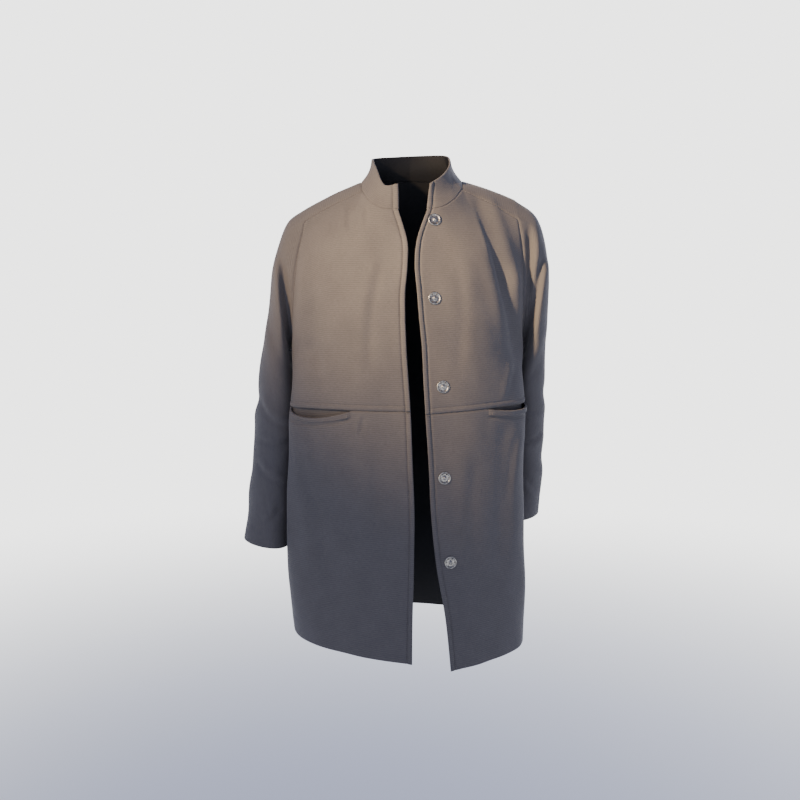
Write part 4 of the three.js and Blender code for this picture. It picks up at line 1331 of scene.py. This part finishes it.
def build_collar():
    runs = [
        (front_neck("right", np.linspace(0, 1, FRONT_NECK_SAMPLES)), 0, 2),
        (saddle_neck("right", np.linspace(0, 1, SIDE_NECK_SAMPLES)), 2, 4),
        (back_neck("right", np.linspace(1, 0, BACK_NECK_SAMPLES)), 4, 5),
        (back_neck("left", np.linspace(0, 1, BACK_NECK_SAMPLES)), 5, 6),
        (saddle_neck("left", np.linspace(1, 0, SIDE_NECK_SAMPLES)), 6, 8),
        (front_neck("left", np.linspace(1, 0, FRONT_NECK_SAMPLES)), 8, 10),
    ]
    seam = draped(np.concatenate([run[0][1 if i else 0:] for i, run in enumerate(runs)]))
    tops = [np.linspace(start, end, len(places)) for places, start, end in runs]
    places = np.concatenate([top[1 if i else 0:] for i, top in enumerate(tops)])
    top = along(np.array(COLLAR_TOP, float), places)
    share = np.linspace(0, 1, COLLAR_ROWS + 1)[:, None, None]
    grid = seam[None] * (1 - share) + top[None] * share
    level = np.stack([grid[..., 0], grid[..., 1], np.zeros(grid.shape[:2])], -1)
    sideward = np.hypot(grid[..., 0], np.maximum(grid[..., 1], 0)) / np.linalg.norm(level, axis=-1)
    hollow = COLLAR_HOLLOW * sideward * np.sin(math.pi * share[..., 0])
    grid = grid - unit(level) * hollow[..., None]
    across_step, up_step = COLLAR_MESH_STEPS
    columns = [0, grid.shape[1] - 1]
    grid = respace(grid.swapaxes(0, 1), columns, across_step, BY_COLLAR_EDGE, BY_COLLAR_EDGE[::-1])
    grid = respace(grid.swapaxes(0, 1), [0, COLLAR_ROWS], up_step, (up_step,), (up_step,))
    across = lengths(grid, 1)
    to_edge = np.minimum(across, across[:, -1:] - across)
    relief = turned_edge(to_edge, EDGE_STITCH, EDGE_RISE, EDGE_GROOVE)
    dress("collar", [Panel(grid, True, relief)], COLLAR_CLOTH, overlap=COLLAR_SEAM_OVERLAP)


# Pockets


def build_welt(side, lower):
    """The band along the pocket's lip, laid on the lower front's own points."""
    pocket = POCKETS[side]
    height = lower.up[-1:] - lower.up
    rows = np.where(height[:, HEIGHT_COLUMN] <= WELT_HEIGHT + 0.5)[0]
    inside = (lower.u[-1] >= pocket["from"]) & (lower.u[-1] <= pocket["to"])
    columns = np.where(inside)[0]
    patch = np.ix_(rows, columns)
    part, normals = lower.outer()[patch], lower.normals()[patch]
    run = lengths(part, 1)
    lift = smoothstep(np.minimum(run, run[:, -1:] - run), 0, WELT_END)
    raised = part + normals * (WELT_LIFT + (WELT_RISE - WELT_LIFT) * lift)[..., None]
    grid = respace(raised, [0, len(raised) - 1], WELT_MESH_STEP, (2,), (2,))
    relief = WELT_WAVE * np.sin(lengths(grid, 1) / 5) * bell((lengths(grid, 0) - 2) / 3)
    panel = Panel(grid, side == "right", relief)
    dress(f"pocket_welt_{side}", [panel], WELT_CLOTH, CLOTH_MATERIAL)
    outer, normals = panel.outer(), panel.normals()
    add_stitches(outer[1], normals[1])
    for column in (TACK_COLUMN, len(outer[0]) - 1 - TACK_COLUMN):
        add_tack(outer[1:-1, column], normals[1:-1, column])


def build_pocket_back(side):
    """The pocket's back, held behind the waist seam and full in the middle."""
    pocket = POCKETS[side]
    u = np.linspace(pocket["from"] - POCKET_SEAM, pocket["to"] + POCKET_SEAM, POCKET_COLUMNS)
    v = np.linspace(0, TOP, TOP * POCKET_DENSE_ROWS + 1)
    lines = draped(front_surface(side, u, v))
    heights = lines[POCKET_DENSE_ROWS * WAIST] - lines[POCKET_DENSE_ROWS * (WAIST - 1)]
    span = np.linalg.norm(heights, axis=-1)
    down = np.linspace(1, 0, POCKET_ROWS)[:, None]
    wanted = WAIST - (POCKET_DEPTH * down - POCKET_RISE) / span[None]
    base = np.empty((POCKET_ROWS, len(u), 3))
    for i in range(len(u)):
        for k in range(3):
            base[:, i, k] = np.interp(wanted[:, i], v, lines[:, i, k])
    flip = side == "right"
    t = np.linspace(0, 1, len(u))[None]
    rounding = np.maximum(np.sin(math.pi * t) * np.sin(math.pi * down), 0)
    depth = CLOTH + 2 * SEAM_GAP + POCKET_FULLNESS * rounding**POCKET_FLATNESS
    points = base - Panel(base, flip).normals() * depth[..., None]
    dress(f"pocket_back_{side}", [Panel(points, flip)], POCKET_CLOTH)


# Press studs

SNAP_SEGMENTS = 64
SNAP_HOLES = 6
STUD_PROFILE = [
    (0, 4.3), (1.1, 4.15), (2.1, 3.6), (2.6, 2.9), (2.4, 2.2), (2.0, 1.7), (2.4, 1.0), (3.3, 0.6),
    (5.2, 0.5), (7.2, 0.6), (7.9, 1.1), (8.5, 1.75), (9.2, 1.9), (9.9, 1.7), (10.4, 1.2), (10.5, 0.6),
    (10.3, 0.1), (9.6, 0), (0, 0),
]
SOCKET_PROFILE = [
    (0, 0.7), (1.9, 0.7), (2.2, 1.1), (2.25, 2.3), (2.6, 2.75), (3.3, 2.8), (4.1, 2.5), (4.5, 1.7),
    (5.2, 1.2), (7.2, 1.15), (7.9, 1.4), (8.5, 1.8), (9.2, 1.95), (9.9, 1.7), (10.4, 1.2), (10.5, 0.6),
    (10.3, 0.1), (9.6, 0), (0, 0),
]
HOLE_CIRCLE = 6.2
HOLE_RADIUS = 0.85
HOLE_SIDES = 16
DRILL_LENGTH = 8
SHARP_ANGLE = math.radians(40)


def snap_mesh(name, profile):
    """A turned disc with sewing holes through its dish."""
    bm = bmesh.new()
    for r, h in profile:
        bm.verts.new((r * MM, 0, h * MM))
    bm.verts.ensure_lookup_table()
    for i in range(len(profile) - 1):
        bm.edges.new((bm.verts[i], bm.verts[i + 1]))
    bmesh.ops.spin(
        bm, geom=bm.verts[:] + bm.edges[:], cent=(0, 0, 0), axis=(0, 0, 1),
        angle=math.tau, steps=SNAP_SEGMENTS, use_merge=True,
    )
    bmesh.ops.remove_doubles(bm, verts=bm.verts[:], dist=1e-6)
    bmesh.ops.recalc_face_normals(bm, faces=bm.faces[:])
    disc = bpy.data.meshes.new(name)
    bm.to_mesh(disc)
    bm.free()
    body = bpy.data.objects.new(name, disc)
    bpy.context.scene.collection.objects.link(body)
    bm = bmesh.new()
    for k in range(SNAP_HOLES):
        turn = math.tau * k / SNAP_HOLES
        place = Vector((HOLE_CIRCLE * math.cos(turn), HOLE_CIRCLE * math.sin(turn), 0)) * MM
        bmesh.ops.create_cone(
            bm, cap_ends=True, segments=HOLE_SIDES, radius1=HOLE_RADIUS * MM, radius2=HOLE_RADIUS * MM,
            depth=DRILL_LENGTH * MM, matrix=Matrix.Translation(place),
        )
    drill = bpy.data.meshes.new(f"{name}_drill")
    bm.to_mesh(drill)
    bm.free()
    cutter = bpy.data.objects.new(f"{name}_drill", drill)
    bpy.context.scene.collection.objects.link(cutter)
    cut = body.modifiers.new("holes", "BOOLEAN")
    cut.operation = "DIFFERENCE"
    cut.solver = "EXACT"
    cut.object = cutter
    bpy.context.view_layer.update()
    result = bpy.data.meshes.new_from_object(body.evaluated_get(bpy.context.evaluated_depsgraph_get()))
    for part in (body, cutter):
        bpy.data.objects.remove(part)
    result.polygons.foreach_set("use_smooth", np.ones(len(result.polygons), bool))
    result.materials.clear()
    result.materials.append(METAL_MATERIAL)
    result.set_sharp_from_angle(angle=SHARP_ANGLE)
    return result


def nearest_place(panels, x, z):
    """The outer point of a front nearest to a place and height, with its normal."""
    best = None
    for panel in panels:
        outer = panel.outer()
        away = (outer[..., 0] - x) ** 2 + (outer[..., 2] - z) ** 2
        i, j = np.unravel_index(np.argmin(away), away.shape)
        if best is None or away[i, j] < best[0]:
            best = (away[i, j], outer[i, j], panel.normals()[i, j])
    return best[1], best[2]


SNAP_THREADS = 3
SNAP_THREAD_SPREAD = 0.055
# Each thread runs over the rim in two straight parts, from and to these radii and heights
SNAP_THREAD_PARTS = (((6.4, 1.0), (8.6, 2.0)), ((8.4, 2.05), (10.9, 0.3)))


def build_snap(name, mesh, place, normal):
    obj = bpy.data.objects.new(name, mesh.copy())
    bpy.context.scene.collection.objects.link(obj)
    turn = Vector(normal).to_track_quat("Z", "Y")
    obj.data.transform(Matrix.Translation(Vector(place) * MM) @ turn.to_matrix().to_4x4())
    x, y, z = (np.array(turn @ Vector(axis)) for axis in ((1, 0, 0), (0, 1, 0), (0, 0, 1)))
    for k in range(SNAP_HOLES):
        angle = math.tau * k / SNAP_HOLES
        for n in range(SNAP_THREADS):
            spread = angle + (n - 1) * SNAP_THREAD_SPREAD
            out = x * math.cos(spread) + y * math.sin(spread)
            for start, end in SNAP_THREAD_PARTS:
                a = place + out * start[0] + z * start[1]
                b = place + out * end[0] + z * end[1]
                direction = unit(b - a)
                across = unit(np.cross(direction, z))
                up = np.cross(across, direction)
                length = np.linalg.norm(b - a) * 1.1
                THREADS.append((((a + b) / 2)[None], direction[None], up[None], across[None], length))
    return obj


# The whole coat

fronts = {}
for side in SIDES:
    upper = build_front_upper(side)
    lower = build_front_lower(side)
    fronts[side] = [upper, lower]
    build_welt(side, lower)
    build_pocket_back(side)
    build_sleeve(side)
build_back()
build_collar()

stud_mesh = snap_mesh("stud", STUD_PROFILE)
socket_mesh = snap_mesh("socket", SOCKET_PROFILE)
for number, (x, z) in enumerate(SNAP_STUDS, 1):
    place, normal = nearest_place(fronts["left"], x, z)
    PIECES[f"snap_stud_{number}"] = build_snap(f"stud_{number}_metal", stud_mesh, place, normal)
for number, (x, z) in enumerate(SNAP_SOCKETS, 1):
    place, normal = nearest_place(fronts["right"], x, z)
    inside = place - normal * (CLOTH + SOCKET_GAP)
    PIECES[f"snap_socket_{number}"] = build_snap(f"socket_{number}_metal", socket_mesh, inside, -normal)
stitches = thread_mesh("stitches", [THREAD_MATERIAL])
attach(stitches, "root")

for cad_node, piece in PIECES.items():
    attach(piece, "root")
    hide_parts(cad_node)

# Studio

FLOOR_HEIGHT = -1450
FLOOR_SIZE = 60000
FLOOR_COLOR = (0.8, 0.82, 0.86, 1)
FADE_START = 1.3
FADE_END = 4.2
BACKGROUND_COLOR = (0.93, 0.93, 0.92, 1)
BACKGROUND_STRENGTH = 3.4
AMBIENT_COLOR = (0.62, 0.68, 1.0, 1)
AMBIENT_STRENGTH = 0.62
# Places, targets and sizes in metres, power in watts and spread in degrees
LIGHTS = table("name place target size power color spread", [
    ("key", (-1.6, -1.38, 0.64), (0.11, -0.11, -0.15), 0.14, 2.3, (1.0, 0.73, 0.44), 21),
    ("front", (-0.5, -1.6, 0.5), (0, 0, -0.25), 0.8, 1.7, (0.72, 0.74, 1.0), 180),
    ("rim", (1.35, 1.75, 0.7), (0, 0, -0.3), 0.4, 26, (0.9, 0.92, 1.0), 180),
])


def area_light(name, place, target, size, power, color, spread):
    data = bpy.data.lights.new(name, "AREA")
    data.spread = math.radians(spread)
    data.shape = "DISK"
    data.size = size
    data.energy = power
    data.color = color
    light = bpy.data.objects.new(name, data)
    bpy.context.scene.collection.objects.link(light)
    light.location = place
    light.rotation_euler = (Vector(target) - Vector(place)).to_track_quat("-Z", "Y").to_euler()


def make_floor():
    """A pale floor that fades with distance into the tone of the background."""
    material, nodes, links, shader = new_material("floor")
    shader.inputs["Base Color"].default_value = FLOOR_COLOR
    shader.inputs["Roughness"].default_value = 0.9
    place = node(nodes, "ShaderNodeNewGeometry")
    away = node(nodes, "ShaderNodeVectorMath", operation="LENGTH")
    links.new(place.outputs["Position"], away.inputs[0])
    share = node(nodes, "ShaderNodeMapRange", interpolation_type="SMOOTHSTEP")
    share.inputs["From Min"].default_value = FADE_START
    share.inputs["From Max"].default_value = FADE_END
    links.new(away.outputs["Value"], share.inputs["Value"])
    far = node(nodes, "ShaderNodeEmission", Color=BACKGROUND_COLOR, Strength=BACKGROUND_STRENGTH)
    mix = node(nodes, "ShaderNodeMixShader")
    links.new(share.outputs["Result"], mix.inputs["Fac"])
    links.new(shader.outputs["BSDF"], mix.inputs[1])
    links.new(far.outputs["Emission"], mix.inputs[2])
    links.new(mix.outputs["Shader"], nodes["Material Output"].inputs["Surface"])
    half = FLOOR_SIZE / 2
    corners = np.array([(-half, -half, 0), (half, -half, 0), (half, half, 0), (-half, half, 0)], float)
    floor = mesh_object("floor", corners + (0, 0, FLOOR_HEIGHT), np.array([[0, 1, 2, 3]]), [material])
    floor.visible_diffuse = False


def make_world():
    """Cool light from all round, and a plain pale background."""
    world = bpy.data.worlds.new("studio")
    bpy.context.scene.world = world
    world.use_nodes = True
    nodes, links = world.node_tree.nodes, world.node_tree.links
    nodes.clear()
    lit = node(nodes, "ShaderNodeBackground", Color=AMBIENT_COLOR, Strength=AMBIENT_STRENGTH)
    seen = node(nodes, "ShaderNodeBackground", Color=BACKGROUND_COLOR, Strength=BACKGROUND_STRENGTH)
    path = node(nodes, "ShaderNodeLightPath")
    mix = node(nodes, "ShaderNodeMixShader")
    out = node(nodes, "ShaderNodeOutputWorld")
    links.new(path.outputs["Is Camera Ray"], mix.inputs["Fac"])
    links.new(lit.outputs[0], mix.inputs[1])
    links.new(seen.outputs[0], mix.inputs[2])
    links.new(mix.outputs[0], out.inputs["Surface"])


make_floor()
make_world()
for light in LIGHTS:
    area_light(**light)
